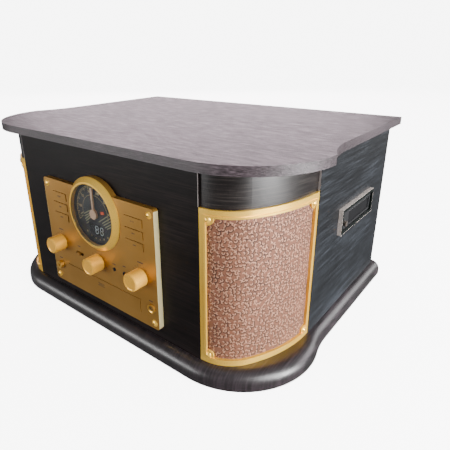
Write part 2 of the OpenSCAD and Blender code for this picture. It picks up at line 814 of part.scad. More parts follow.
module control_panel() {
    color("#B4882F") place() difference() {
        union() {
            on_face(0, plate_z + plate_h / 2) translate([0, 0, -plate_t]) linear_extrude(plate_t) plate_plan();
            on_face(0, dial_z) rod(dial_r, -plate_t, 0);
            for (p = post_places()) on_face(p[0], p[1]) rod(2.5, -plate_t - board_gap, -plate_t + eps);
        }
        on_face(0, dial_z) rod(dial_open_r + 1, -dial_seat, cut);
        on_face(0, dial_z) rod(3, -plate_t - cut, cut);
        at_buttons() block(button_w + 2 * slide_gap, button_h + 2 * slide_gap, -plate_t - cut, cut);
        for (k = knob_places()) on_face(k[0], k[1]) rod(shaft_r + 2 * slide_gap, -plate_t - cut, cut);
        on_face(0, tray_z + tray_h / 2)
            block(tray_w + 2 * slide_gap, tray_h + 2 * slide_gap, -plate_t - cut, cut);
        on_face(open_x, low_row_z) rod(open_r + slide_gap, -plate_t - cut, cut);
        on_face(-phones_x, low_row_z) rod(phones_r + seat_gap, -plate_t - cut, cut);
        on_face(line_in_x, small_row_z) rod(line_in_r + seat_gap, -plate_t - cut, cut);
        on_face(eye_x, small_row_z) rod(eye_r + seat_gap, -plate_t - cut, cut);
        on_face(-band_x, small_row_z) block(band_slot, band_h + 2 * slide_gap, -plate_t - cut, cut);
        plate_screws(shank_r + shaft_gap, -plate_t - cut, cut);
    }
}

module dial_ring() {
    color("#D8B056") place() on_face(0, dial_z) rotate_extrude() polygon([
        [dial_open_r, 0], [dial_r, 0], [dial_r, 0.8], [dial_front_r, dial_ring_h], [dial_open_r, dial_ring_h]]);
}

module dial_glass() {
    color("#C8D4D8", 0.3) place() on_face(0, dial_z)
        rod(dial_open_r - seat_gap, dial_ring_h - glass_t - seat_gap, dial_ring_h - seat_gap);
}

module dial_face() {
    color("#141416") place() difference() {
        on_face(0, dial_z) rod(dial_open_r + 1 - seat_gap, -dial_seat, dial_face_z);
        on_face(0, dial_z) rod(2, -dial_seat - cut, cut);
        on_face(0, dial_z - digits_drop)
            block(digits_w + 2 * seat_gap, digits_h + 2 * seat_gap, -dial_seat - cut, cut);
    }
}

module digit_window() {
    color("#1E1E22") place() on_face(0, dial_z - digits_drop)
        block(digits_w, digits_h, -dial_seat, dial_face_z + 0.3);
}

module dial_needle() {
    blade_w = 3;
    blade_t = 1.8;
    hub_t = 2.8;
    color("#E0B450") place() on_face(0, dial_z) {
        rod(hub_r, dial_face_z + 0.4, dial_face_z + 0.4 + hub_t);
        rod(pivot_r, board_z - 6, dial_face_z + 0.5);
        translate([-blade_w / 2, 0, dial_face_z + 0.9]) cube([blade_w, needle_len, blade_t]);
    }
}

module knob(i) {
    back = 0.6;
    tail = board_z - board_t - can_len + 2;
    place() on_face(knob_places()[i][0], knob_places()[i][1]) rotate_extrude() polygon([
        [0, tail], [shaft_r, tail], [shaft_r, back], [knob_r, back], [knob_r, knob_proud - 1],
        [knob_r - 1, knob_proud], [knob_r - 2, knob_proud], [knob_r - 2.8, knob_proud - 0.5],
        [0, knob_proud - 0.5]]);
}

module knob_function() {
    color("#E6BC62") knob(0);
}

module knob_tuning() {
    color("#E6BC62") knob(1);
}

module knob_volume() {
    color("#E6BC62") knob(2);
}

module band_switch() {
    color("#D8B056") place() on_face(-band_x, small_row_z) {
        block(band_w, band_h, -plate_t - flange_t, band_proud);
        block(band_slot + band_w + 4, band_h + 4, -plate_t - flange_t - 0.2, -plate_t - 0.2);
    }
}

// A push button with the flange that keeps it behind the control panel.
module push_button(side, row) {
    color("#D8B056") place() on_face(side * button_x, button_top_z - row * button_pitch) {
        block(button_w, button_h, -plate_t - flange_t, button_proud);
        block(button_w + 2, button_h + 2, -plate_t - flange_t - 0.2, -plate_t - 0.2);
    }
}

module button_left_top() {
    push_button(-1, 0);
}

module button_left_middle() {
    push_button(-1, 1);
}

module button_left_bottom() {
    push_button(-1, 2);
}

module button_right_top() {
    push_button(1, 0);
}

module button_right_middle() {
    push_button(1, 1);
}

module button_right_bottom() {
    push_button(1, 2);
}

module receiver_window() {
    color("#180E10") place() on_face(eye_x, small_row_z) rod(eye_r, -plate_t, 0.3);
}

// A socket for a small stereo plug.
module jack(outer_r, front) {
    body_w = 11;
    difference() {
        union() {
            rod(outer_r, -plate_t - 0.4, front);
            block(body_w, body_w, front - jack_depth - 1.5, -plate_t - 0.2);
        }
        rod(jack_bore_r, front - jack_depth, front + cut);
    }
}

module phones_socket() {
    color("#D8B056") place() on_face(-phones_x, low_row_z) jack(phones_r, phones_proud);
}

module line_in_socket() {
    color("#2A2A2C") place() on_face(line_in_x, small_row_z) jack(line_in_r, 0.4);
}

module open_button() {
    dish_r = 9;
    dish_depth = 1;
    color("#D8B056") place() on_face(open_x, low_row_z) difference() {
        union() {
            rod(open_r, -plate_t - flange_t, open_proud);
            rod(open_r + 1, -plate_t - flange_t - 0.2, -plate_t - 0.2);
        }
        translate([0, 0, open_proud + dish_r - dish_depth]) sphere(r = dish_r);
    }
}

// The board behind the control panel, with switches, potentiometers and the needle's bearing.
module switch_board() {
    inner_x = tray_w / 2 + 8;
    outer_x = plate_w / 2 - 5;
    low = low_row_z - 6;
    mid = tray_z + tray_h + 6;
    high = board_high;
    tact_h = 2.2;
    bush_end = board_z + board_gap - 0.5;
    color("#3E6B3A") place() difference() {
        union() {
            on_face(0, 0) translate([0, 0, board_z - board_t]) linear_extrude(board_t) {
                translate([-outer_x, mid]) square([2 * outer_x, high - mid]);
                for (s = [0, 1]) mirror([s, 0]) translate([inner_x, low]) square([outer_x - inner_x, high - low]);
            }
            at_buttons() block(6, 6, board_z - eps, board_z + tact_h);
            on_face(open_x, low_row_z) block(6, 6, board_z - eps, board_z + tact_h);
            for (k = knob_places()) on_face(k[0], k[1]) {
                rod(shaft_r + 1.5, board_z - eps, bush_end);
                rod(9, board_z - board_t - can_len, board_z - eps);
            }
            on_face(0, dial_z) {
                rod(pivot_r + 1.5, board_z - eps, bush_end);
                rod(6, board_z - board_t - 7, board_z - eps);
            }
            on_face(-band_x, small_row_z) block(12, 7, board_z - eps, board_z + board_gap - flange_t - 0.6);
        }
        for (k = knob_places()) on_face(k[0], k[1])
            rod(shaft_r + shaft_gap, board_z - board_t - can_len + 1.5, board_z + board_gap);
        on_face(0, dial_z) rod(pivot_r + shaft_gap, board_z - 6.5, board_z + board_gap);
        for (p = [[-phones_x, low_row_z], [line_in_x, small_row_z]]) on_face(p[0], p[1])
            block(11 + 2 * slide_gap, 11 + 2 * slide_gap, board_z - board_t - cut, board_z + cut);
    }
}

// ---- Disc drawer ----

module disc_tray() {
    plate_x = tray_w - 4;
    well = tray_len / 2 + 2;
    slot = 2 * disc_hub_r + 6;
    color("#C89A3C") place() on_face(0, tray_z) difference() {
        union() {
            translate([0, tray_h / 2, 0]) block(tray_w, tray_h, -tray_depth, tray_proud);
            translate([-plate_x / 2, 3, -tray_depth - tray_len]) cube([plate_x, tray_t, tray_len + eps]);
        }
        translate([0, 3 + tray_t - disc_well_depth, -tray_depth - well]) rotate([-90, 0, 0])
            cylinder(r = disc_well_r, h = disc_well_depth + cut);
        translate([0, 2, -tray_depth - well]) rotate([-90, 0, 0]) cylinder(r = slot / 2, h = tray_t + 2);
        translate([-slot / 2, 2, -tray_depth - tray_len - cut]) cube([slot, tray_t + 2, tray_len - well + cut]);
    }
}

// Depth behind the control panel's face of the middle of a disc in the shut drawer.
function disc_depth() = tray_depth + tray_len / 2 + 2;

module disc_drive() {
    run = 0.4;
    inner_w = tray_w - 4 + 2 * run;
    floor_y = 3 - run;
    roof_y = tray_h + 2;
    front = -plate_t - panel_t - 0.3;
    rear = -tray_depth - tray_len - 3;
    leg = tray_z - plinth_top;
    color("#6E7074") place() on_face(0, tray_z) difference() {
        union() {
            block_from(-inner_w / 2 - drive_t, -4 - drive_t, rear - drive_t,
                inner_w + 2 * drive_t, roof_y + 4 + 2 * drive_t, front - rear + drive_t);
            for (s = [-1, 1], z = [front - 12, rear + 2])
                block_from(s * (inner_w / 2 - 4) - 4, -leg, z, 8, leg - 4, 8);
        }
        block_from(-inner_w / 2, floor_y, rear, inner_w, roof_y - floor_y, front - rear + cut);
        block_from(-inner_w / 2 + 6, -4, rear, inner_w - 12, floor_y + 4 + cut, front - rear + cut);
        translate([0, 0, -disc_depth()]) rotate([-90, 0, 0])
            translate([0, 0, -4 - drive_t - cut]) cylinder(r = pivot_r + shaft_gap, h = drive_t + 2 * cut);
    }
}

// A block from a corner and its three lengths.
module block_from(x, y, z, w, h, l) {
    translate([x, y, z]) cube([w, h, l]);
}

module disc_hub() {
    top = 3 + tray_t - disc_well_depth + 0.6;
    color("#2C2C30") place() on_face(0, tray_z) translate([0, 0, -disc_depth()]) rotate([-90, 0, 0]) {
        translate([0, 0, -3.5]) cylinder(r = disc_hub_r, h = top + 3.5 - 1.2);
        translate([0, 0, -3.5]) cylinder(r = 7.4, h = top + 3.5);
        translate([0, 0, -4 - drive_t]) cylinder(r = pivot_r, h = drive_t + 1);
    }
}

// ---- Inside ----

module main_board() {
    w = 150;
    d = 90;
    post_h = 6;
    origin = [-side_x + panel_t + 8, back_y - panel_t - d - 8, plinth_top];
    color("#3E6B3A") place() translate(origin) {
        for (x = [6, w - 6], y = [6, d - 6]) translate([x, y, 0]) cylinder(r = 3, h = post_h + eps);
        translate([0, 0, post_h]) cube([w, d, board_t]);
        translate([20, d - 16, post_h + board_t - eps]) cube([70, 10, 32]);
        for (i = [0:3]) translate([25 + 15 * i, 30, post_h + board_t - eps]) cylinder(r = 5, h = 18);
        for (i = [0:2]) translate([100 + 16 * (i % 2), 14 + 20 * i, post_h + board_t - eps]) cube([12, 12, 5]);
    }
}

module transformer() {
    w = 56;
    d = 44;
    h = 46;
    origin = [side_x - panel_t - w - 20, -20, plinth_top];
    color("#8A5A30") place() translate(origin) {
        translate([0, d / 4, 0]) cube([w, d / 2, h]);
        translate([w / 4, 0, 7]) cube([w / 2, d, h - 14]);
        translate([-8, d / 4, 0]) cube([w + 16, d / 2, 2]);
    }
}

// ---- Turntable ----

// Puts its children on the platter's axis, at deck height.
module at_spindle() {
    translate([-spindle_x, spindle_y, deck_z]) children();
}

module deck_plate() {
    gap = 0.3;
    seat = frame_t + corner_t + gap;
    rest_z = arm_lift_z - arm_r - 0.4;
    bearing_h = platter_lift + platter_t + mat_t;
    color("#2B292B") place() difference() {
        union() {
            translate([0, 0, ledge_z]) linear_extrude(deck_t)
                cabinet_plan(front_y + rim_t + gap, side_x - side_rim_t - gap, back_y - rim_t - gap, seat);
            at_spindle() {
                rod(9, -eps, platter_lift - 0.3);
                rod(bearing_r, -eps, bearing_h);
                rod(pin_r, 0, bearing_h + pin_h - 2);
                rod(pin_r - 1.2, 0, bearing_h + pin_h);
            }
            translate([arm_x - 6, arm_y - arm_len * 0.62, deck_z - eps]) cube([12, 8, rest_z]);
            translate([arm_x + arm_r + 0.5, arm_y - arm_len * 0.62, deck_z - eps]) cube([2, 8, rest_z + 4]);
        }
        at_spindle() rotate([0, 0, motor_angle]) translate([motor_dist, 0, 0]) rod(5, -deck_t - cut, cut);
        translate([speed_pos[0], speed_pos[1], deck_z]) rod(shaft_r + shaft_gap, -deck_t - cut, cut);
    }
}

module platter() {
    drum_h = belt_w + 0.6;
    color("#232325") place() at_spindle() difference() {
        union() {
            rod(platter_r, platter_lift, platter_lift + platter_t);
            rod(drum_r, platter_lift - drum_h, platter_lift + eps);
        }
        rod(drum_r - 4, platter_lift - drum_h - cut, platter_lift + 3);
        rod(bearing_r + shaft_gap, 0, platter_lift + platter_t + cut);
    }
}

module platter_mat() {
    color("#18181A") place() at_spindle() difference() {
        rod(platter_r - 2, platter_lift + platter_t, platter_lift + platter_t + mat_t);
        rod(bearing_r + 0.6, 0, platter_lift + platter_t + mat_t + cut);
    }
}

// Puts its children on the motor's axis, at deck height.
module at_motor() {
    at_spindle() rotate([0, 0, motor_angle]) translate([motor_dist, 0, 0]) children();
}

module motor() {
    color("#9A9A9C") place() at_motor() difference() {
        rod(motor_r, -deck_t - motor_len, -deck_t);
        rod(1 + shaft_gap, -deck_t - 12, cut);
    }
}

module motor_pulley() {
    color("#C8B070") place() at_motor() {
        rod(pulley_r, 0.5, platter_lift - 0.5);
        rod(1, -deck_t - 11, 1);
    }
}

// The flat belt round the drum and the pulley: an outer loop less an inner one.
module belt_plan(extra) {
    r1 = drum_r + 0.3 + extra;
    r2 = pulley_r + 0.3 + extra;
    lean = acos((r1 - r2) / motor_dist);
    dir = [cos(lean), sin(lean)];
    circle(r = r1);
    translate([motor_dist, 0]) circle(r = r2);
    polygon([(r1 - seam_lap) * dir, (r1 - seam_lap) * [dir[0], -dir[1]],
        [motor_dist, 0] + (r2 - seam_lap) * [dir[0], -dir[1]], [motor_dist, 0] + (r2 - seam_lap) * dir]);
}

module drive_belt() {
    color("#101010") place() at_spindle() rotate([0, 0, motor_angle])
        translate([0, 0, platter_lift - belt_w - 0.6]) linear_extrude(belt_w) difference() {
            belt_plan(belt_t);
            belt_plan(0);
        }
}

// ---- Pickup arm ----

module arm_base() {
    cue_plate = [3.1 * arm_base_r, 3.3 * arm_base_r, 2.5];
    ear = [4, 12, 14];
    ear_x = pivot_r * 4;
    base_top = arm_lift_z - yoke_drop;
    color("#303033") place() difference() {
        union() {
            translate([arm_x, arm_y, deck_z]) rod(arm_base_r, 0, base_top);
            translate([arm_x - 1.2 * arm_base_r, cue_pos[1] - 10, deck_z]) cube(cue_plate);
            for (e = [-1, 1]) translate([cue_pos[0] + e * ear_x - ear[0] / 2, cue_pos[1] - ear[1] / 2, deck_z]) cube(ear);
        }
        translate([arm_x, arm_y, deck_z]) rod(yoke_shaft_r + shaft_gap, 3, base_top + cut);
        translate([cue_pos[0] - 10, cue_pos[1], cue_pos[2]]) rotate([0, 90, 0]) rod(pivot_r + shaft_gap, 0, 20);
    }
}

module arm_yoke() {
    base_top = arm_lift_z - yoke_drop;
    color("#3A3A3E") place() translate([arm_x, arm_y, deck_z]) difference() {
        union() {
            rod(yoke_shaft_r, 4, base_top + 1);
            rod(arm_base_r - 1, base_top + 0.3, base_top + 3.5);
            for (e = [-1, 1]) translate([e * 8 - 2, -6, base_top + 3]) cube([4, 12, arm_lift_z - base_top + 2]);
        }
        translate([-12, 0, arm_lift_z]) rotate([0, 90, 0]) rod(pivot_r + shaft_gap, 0, 24);
    }
}

module pickup_arm() {
    head_y = -arm_len;
    color("#2E2E32") place() translate([arm_x, arm_y, arm_z]) {
        rotate([0, 90, 0]) rod(pivot_r, -9.6, 9.6);
        translate([-5, -7, -4.5]) cube([10, 30, 9]);
        translate([0, -6, 0]) rotate([90, 0, 0]) rod(arm_r, 0, arm_len - 30);
        translate([-8, head_y - 6, -3]) cube([16, 34, 6]);
        translate([-6, head_y - 4, -9]) cube([12, 16, 6 + eps]);
        translate([0, head_y, -13]) cylinder(r1 = 0.4, r2 = 1.5, h = 4 + eps);
    }
}

module cue_lever() {
    color("#2A2A2C") place() translate(cue_pos) {
        rotate([0, 90, 0]) rod(pivot_r, -7.5, 7.5);
        rotate([0, 90, 0]) rod(3.2, -3.6, 3.6);
        translate([-1.8, -cue_len, -1.5]) cube([3.6, cue_len, 3]);
        translate([-3.6, -cue_len - 6, -1.5]) cube([7.2, 8, 3]);
    }
}

module speed_selector() {
    color("#39393C") place() translate([speed_pos[0], speed_pos[1], deck_z]) {
        rod(shaft_r, -deck_t - 2, 0.5);
        rod(speed_r, 0.4, speed_h - 2);
        translate([-1.2, -speed_r, speed_h - 2 - eps]) cube([2.4, 2 * speed_r, 2]);
    }
}

// ---- Cassette deck ----

module cassette_bezel() {
    color("#C8B8AE") place() on_side(cas_y, cas_z) difference() {
        block(cas_w, cas_h, 0, cas_proud);
        block(cas_w - 2 * cas_rim, cas_h - 2 * cas_rim, -cut, cas_proud + cut);
    }
}

// Middle of the slot, seen from the middle of the bezel.
function slot_mid() = -1;
function flap_axis_y() = slot_mid() + slot_h / 2 - 1.3;
function plate_front() = cas_proud / 2;
function key_x() = -cas_w / 2 + key_edge;

module cassette_deck() {
    plate_wd = cas_w - 2 * cas_rim - 2 * slide_gap;
    plate_ht = cas_h - 2 * cas_rim - 2 * slide_gap;
    slot_x = slot_off;
    body_d = slot_depth + 4;
    color("#1A1A1C") place() on_side(cas_y, cas_z) difference() {
        union() {
            block(plate_wd, plate_ht, -panel_t - eps, plate_front());
            block(plate_wd + 4, plate_ht + 12, -body_d, -panel_t);
        }
        translate([slot_x, slot_mid(), 0]) block(slot_w, slot_h, -slot_depth, cas_proud);
        translate([slot_x, flap_axis_y(), plate_front() - flap_t / 2 - 0.4]) rotate([0, 90, 0])
            rod(0.7 + shaft_gap, -slot_w / 2 - 1, slot_w / 2 + 1);
        translate([key_x(), slot_mid() - 2, 0]) rod(key_r + slide_gap, -14, cas_proud);
        translate([key_x(), slot_mid() - 2, 0]) rod(key_r + 1 + slide_gap, -14, -4);
    }
}

module cassette_flap() {
    color("#1E1E20") place() on_side(cas_y, cas_z)
        translate([slot_off, flap_axis_y(), plate_front() - flap_t / 2 - 0.4]) {
            rotate([0, 90, 0]) rod(0.7, -slot_w / 2 - 0.7, slot_w / 2 + 0.7);
            translate([-slot_w / 2 + 0.3, -slot_h + 1.6, -flap_t / 2]) cube([slot_w - 0.6, slot_h - 1.2, flap_t]);
        }
}

module cassette_key() {
    color("#3A3A3E") place() on_side(cas_y, cas_z) translate([key_x(), slot_mid() - 2, 0]) {
        rod(key_r, -6, plate_front() + key_proud);
        rod(key_r + 1, -9, -5);
    }
}

// ---- Sockets on the back ----

// Places of the four phono sockets, from the middle of the socket plate.
function phono_places() = [for (x = [0, 1], y = [-1, 1]) [-sockets_w / 2 + 16 + x * phono_pitch, y * phono_pitch / 2]];

module socket_plate() {
    inlet_x = sockets_w / 2 - 24;
    color("#2E2E30") place() translate([sockets_x, back_y, sockets_z]) rotate([90, 0, 180]) difference() {
        union() {
            block(sockets_w, sockets_h, 0, sockets_t);
            for (p = phono_places()) translate([p[0], p[1], 0]) rod(phono_r, 0, sockets_t + phono_len);
            translate([inlet_x, 0, 0]) block(plug_w + 4, plug_h + 4, -panel_t - 8, eps);
        }
        for (p = phono_places()) translate([p[0], p[1], 0]) rod(1.6, sockets_t - 1, sockets_t + phono_len + cut);
        translate([inlet_x, 0, 0]) difference() {
            block(plug_w, plug_h, -12, sockets_t + cut);
            for (e = [-1, 1]) translate([e * 4.3, 0, 0]) rod(1.1, -12, -5);
        }
    }
}

plinth();
feet();
front_panel();
corner_panel_left();
corner_panel_right();
side_panel_left();
side_panel_right();
back_panel();
deck_plate();
lid();
hinge_leaves_cabinet();
hinge_leaves_lid();
grille_frame_left();
grille_frame_right();
grille_cloth_left();
grille_cloth_right();
screws();
speaker_left();
speaker_right();
control_panel();
dial_ring();
dial_glass();
dial_face();
dial_needle();
digit_window();
knob_function();
knob_tuning();
knob_volume();
band_switch();
button_left_top();
button_left_middle();
button_left_bottom();
button_right_top();
button_right_middle();
button_right_bottom();
receiver_window();
phones_socket();
line_in_socket();
open_button();
disc_tray();
disc_drive();
disc_hub();
switch_board();
main_board();
transformer();
platter();
platter_mat();
motor();
motor_pulley();
drive_belt();
arm_base();
arm_yoke();
pickup_arm();
cue_lever();
speed_selector();
cassette_bezel();
cassette_flap();
cassette_key();
cassette_deck();
socket_plate();
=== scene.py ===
# %% [markdown]
# # A stereo music centre with a record player under its lid
# The cabinet is chipboard wrapped in dark wood-grain vinyl, with gilt trim on the front. The CAD
# part gives every solid piece and every hinge, so it is loaded first and never moved. This lesson
# dresses it: it gives each node a finish, and adds the few pieces whose looks need a finer surface
# than CAD gives, such as the rounded plinth and the pressed speaker cloth.

# %% Load the frame
import bmesh
import bpy
import numpy as np
from mathutils import Matrix, Vector


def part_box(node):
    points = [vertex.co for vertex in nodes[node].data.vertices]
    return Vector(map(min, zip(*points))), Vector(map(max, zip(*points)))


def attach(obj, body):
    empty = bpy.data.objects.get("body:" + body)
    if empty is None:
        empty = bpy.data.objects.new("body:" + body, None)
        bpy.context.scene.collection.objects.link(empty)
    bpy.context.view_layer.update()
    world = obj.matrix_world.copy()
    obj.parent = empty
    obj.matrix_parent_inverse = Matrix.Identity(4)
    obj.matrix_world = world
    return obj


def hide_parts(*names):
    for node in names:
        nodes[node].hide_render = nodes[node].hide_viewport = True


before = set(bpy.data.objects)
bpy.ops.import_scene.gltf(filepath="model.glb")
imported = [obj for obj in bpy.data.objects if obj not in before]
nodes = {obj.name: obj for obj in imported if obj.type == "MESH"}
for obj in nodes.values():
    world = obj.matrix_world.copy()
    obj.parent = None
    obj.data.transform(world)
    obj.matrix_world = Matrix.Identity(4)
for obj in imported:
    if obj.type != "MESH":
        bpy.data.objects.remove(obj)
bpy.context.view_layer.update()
MM = 0.001


def box_mm(name):
    """The lowest and the highest corner of a CAD node's box, in mm."""
    return np.array(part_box(name)) / MM


# %% [markdown]
# ## Helpers for finishes
# A finish is a small graph of nodes. All of them are made with one function that adds a node,
# sets it and links it, so a graph reads as a list of steps. Colours are written as the sRGB hex
# values that a colour chart gives, and turned to the linear values that light is added up in.

# %% Colours and nodes
def linear(code):
    """A channel c of the hex colour becomes c / 12.92 where dark, else ((c + 0.055) / 1.055) ^ 2.4."""
    c = np.array([int(code[i:i + 2], 16) for i in (1, 3, 5)]) / 255
    return (*np.where(c <= 0.04045, c / 12.92, ((c + 0.055) / 1.055) ** 2.4).tolist(), 1.0)


def add(mat, kind, inputs=None, stops=(), **settings):
    """Adds one node, gives it its settings and ramp stops, and sets or links its inputs."""
    node = mat.node_tree.nodes.new("ShaderNode" + kind)
    for key, value in settings.items():
        setattr(node, key, value)
    for i, (place, code) in enumerate(stops):
        spots = node.color_ramp.elements
        spot = spots[i] if i < 2 else spots.new(place)
        spot.position, spot.color = place, linear(code)
    for key, value in (inputs or {}).items():
        if isinstance(value, bpy.types.NodeSocket):
            mat.node_tree.links.new(value, node.inputs[key])
        else:
            node.inputs[key].default_value = value
    return node.outputs


print("red as light:", np.round(linear("#C04030"), 3).tolist())

# %% Starting and putting on a finish
def finish(name, links=None, **sockets):
    """Starts a material, or sets and links the shader of one that was started."""
    mat = bpy.data.materials.get(name) or bpy.data.materials.new(name)
    mat.use_nodes = True
    shader = mat.node_tree.nodes["Principled BSDF"]
    for key, value in sockets.items():
        shader.inputs[key.replace("_", " ")].default_value = value
    for key, value in (links or {}).items():
        mat.node_tree.links.new(value, shader.inputs[key])
    return mat


def dress(mat, *names):
    """Puts a finish on CAD nodes or new pieces: all their faces take it."""
    for name in names:
        piece = nodes.get(name) or bpy.data.objects[name]
        piece.data.materials.clear()
        piece.data.materials.append(mat)
    print(mat.name, "on", len(names))


# %% [markdown]
# ## Helpers for patterns
# No real surface is quite even: its tint, its gloss and its height all vary a little. Noise gives
# that at a size in real mm, read from the object's own coordinates, so that it sticks to the piece
# when it moves. A ramp makes a tint of it, a range makes a roughness, and a bump makes a relief
# that only bends the light.

# %% Places and noise
def spot_mm(mat, step=(1, 1, 1), middle=(0, 0, 0)):
    """Object coordinates, moved to a middle in mm and counted in steps of the given mm."""
    at = add(mat, "TexCoord")["Object"]
    centre = tuple(v * MM for v in middle)
    moved = add(mat, "VectorMath", {0: at, 1: centre}, operation="SUBTRACT")[0]
    return add(mat, "Mapping", {"Vector": moved, "Scale": tuple(1 / (v * MM) for v in step)})["Vector"]


def noise(mat, step, detail=2.0, rough=0.5):
    """Random values round 0.5 that change over about one step, given in mm for x, y and z."""
    inputs = {"Vector": spot_mm(mat, step), "Scale": 1.0, "Detail": detail, "Roughness": rough}
    return add(mat, "TexNoise", inputs)["Fac"]


print("patterns count in mm, and one mm is", MM, "in the scene")

# %% Tints, ranges and relief
def tinted(mat, value, *stops):
    """A colour ramp: each stop is a place from 0 to 1 and a hex colour."""
    return add(mat, "ValToRGB", {0: value}, stops)["Color"]


def ranged(mat, value, low, high, start=0.0, end=1.0):
    """The value 'start' gives 'low', 'end' gives 'high', and a straight line runs between them."""
    inputs = {"Value": value, "From Min": start, "From Max": end, "To Min": low, "To Max": high}
    return add(mat, "MapRange", inputs)["Result"]


def relief_of(mat, height, strength, deep):
    """A relief of the given depth in mm, as a bent normal."""
    return add(mat, "Bump", {"Height": height, "Strength": strength, "Distance": deep * MM})["Normal"]


def calc(mat, operation, first, second=0.0):
    """One step of arithmetic on two values."""
    return add(mat, "Math", {0: first, 1: second}, operation=operation)[0]


def blend(mat, share, first, second):
    """Colour = (1 - share) x first + share x second."""
    return add(mat, "Mix", {0: share, 6: first, 7: second}, data_type="RGBA")[2]


print("steps of a pattern: tinted, ranged, relief_of, calc, blend")

# %% [markdown]
# ## The camera
# The camera stands where the photograph was taken from. Its place, its direction and the point
# that it looks straight at were worked out from the corners of the lid, the plinth and the
# panels. That point isn't the middle of the picture, so the lens is shifted by the difference.

# %% Camera
PHOTO_PX = 450
CAMERA_AT = (358.66, -405.72, 313.94)
AZIMUTH, ELEVATION, ROLL = (float(v) for v in np.radians((39.0, 20.49, -0.65)))
FOCAL_PX, MIDDLE_PX = 419.82, (204.19, 203.94)

lens = bpy.data.cameras.new("photo_camera")
camera = bpy.data.objects.new("photo_camera", lens)
bpy.context.scene.collection.objects.link(camera)
bpy.context.scene.camera = camera
lens.lens = FOCAL_PX / PHOTO_PX * lens.sensor_width
lens.shift_x = 0.5 - MIDDLE_PX[0] / PHOTO_PX
lens.shift_y = MIDDLE_PX[1] / PHOTO_PX - 0.5
lens.clip_start = 0.01
level = Vector((np.cos(AZIMUTH), np.sin(AZIMUTH), 0))
back = Vector((np.sin(AZIMUTH) * np.cos(ELEVATION), -np.cos(AZIMUTH) * np.cos(ELEVATION),
               np.sin(ELEVATION)))
right = level * np.cos(ROLL) + back.cross(level) * np.sin(ROLL)
turn = Matrix((right, back.cross(right), back)).transposed()
camera.matrix_world = Matrix.Translation([v * MM for v in CAMERA_AT]) @ turn.to_4x4()
print("lens:", round(lens.lens, 2), "mm, shift:", round(lens.shift_x, 4), round(lens.shift_y, 4))

# %% [markdown]
# ## Surfaces from arrays
# Every new piece is a surface that numpy works out: a grid of points, with a number for the step
# along it and one for the step across. The same helper closes it round if it is a tube.

# %% Grid helpers
def show(name, points, faces, smooth=True):
    """Makes an object of a list of points in mm and a list of faces, at the origin."""
    mesh = bpy.data.meshes.new(name)
    mesh.from_pydata((np.asarray(points, float) * MM).tolist(), [], faces)
    mesh.update()
    mesh.polygons.foreach_set("use_smooth", np.full(len(mesh.polygons), smooth))
    piece = bpy.data.objects.new(name, mesh)
    bpy.context.scene.collection.objects.link(piece)
    print(name, "has", len(mesh.polygons), "faces")
    return piece


def quads(rows, cols, closed=False):
    """Faces of a grid: each square joins point (r, c) to (r, c + 1), (r + 1, c + 1), (r + 1, c)."""
    r, c = np.meshgrid(np.arange(rows - 1), np.arange(cols if closed else cols - 1), indexing="ij")
    d = (c + 1) % cols
    square = np.stack([r * cols + c, r * cols + d, (r + 1) * cols + d, (r + 1) * cols + c], -1)
    return square.reshape(-1, 4)


print("a grid of 3 x 4 points has", len(quads(3, 4)), "squares, closed round", len(quads(3, 4, True)))

# %% [markdown]
# ## The floor
# The floor is one pale sheet that curves up far away all round, as in a photo studio, so no edge
# of it shows from any side. It shines so strongly that it turns white. It is kept out of
# reflections and out of the light on the object, as a photographer does with black cards, so that
# the dark cabinet stays dark.

# %% Floor
DISC_R, FLAT_R, BEND_R, WALL_TOP = 1500, 4000, 3000, 9000


def studio_bowl():
    """A section turned round the vertical axis: a disc, a flat ring, a quarter circle and a wall."""
    bend = np.radians(np.linspace(0, 90, 20))
    reach = np.hstack([DISC_R, FLAT_R + BEND_R * np.sin(bend), FLAT_R + BEND_R])
    climb = np.hstack([0, BEND_R - BEND_R * np.cos(bend), WALL_TOP])
    t = np.radians(np.arange(0, 360, 5))
    x, y = reach[:, None] * np.cos(t), reach[:, None] * np.sin(t)
    rings = np.stack([x, y, climb[:, None] + 0 * t], -1)
    side = quads(len(reach), len(t), closed=True)[:, ::-1].tolist()
    return rings.reshape(-1, 3), [list(range(len(t)))] + side


floor = show("studio_floor", *studio_bowl())
paper = finish("matt white paper", Roughness=0.9, Specular_IOR_Level=0.2, Emission_Strength=7.0,
               Emission_Color=linear("#FFFFFF"))
paper_tint = tinted(paper, noise(paper, (8, 8, 8)), (0.3, "#F9F9F9"), (0.7, "#FCFCFC"))
finish(paper.name, {"Base Color": paper_tint})
dress(paper, "studio_floor")
for ray in ("visible_glossy", "visible_diffuse", "visible_transmission", "visible_shadow"):
    setattr(floor, ray, False)

# %% [markdown]
# ## The light
# The light is soft and comes from large panels: right, low right, behind, above and front left.
# The one behind gives the lid its pale mauve sheen, so it is tinted a little, and the low ones
# draw the highlights on the round corner and on the knobs.

# %% Lamps and air
AIM_AT = (0, 0, 100)


def soft_panel(name, at, size, power):
    """A rectangular lamp at a place in mm, of a size in mm, turned to face AIM_AT."""
    lamp = bpy.data.lights.new(name, "AREA")
    lamp.shape, lamp.energy = "RECTANGLE", power
    lamp.size, lamp.size_y = (v * MM for v in size)
    holder = bpy.data.objects.new(name, lamp)
    bpy.context.scene.collection.objects.link(holder)
    holder.location = Vector(at) * MM
    aim = (Vector(AIM_AT) - Vector(at)) * MM
    holder.rotation_mode = "QUATERNION"
    holder.rotation_quaternion = aim.to_track_quat("-Z", "Y")
    return lamp


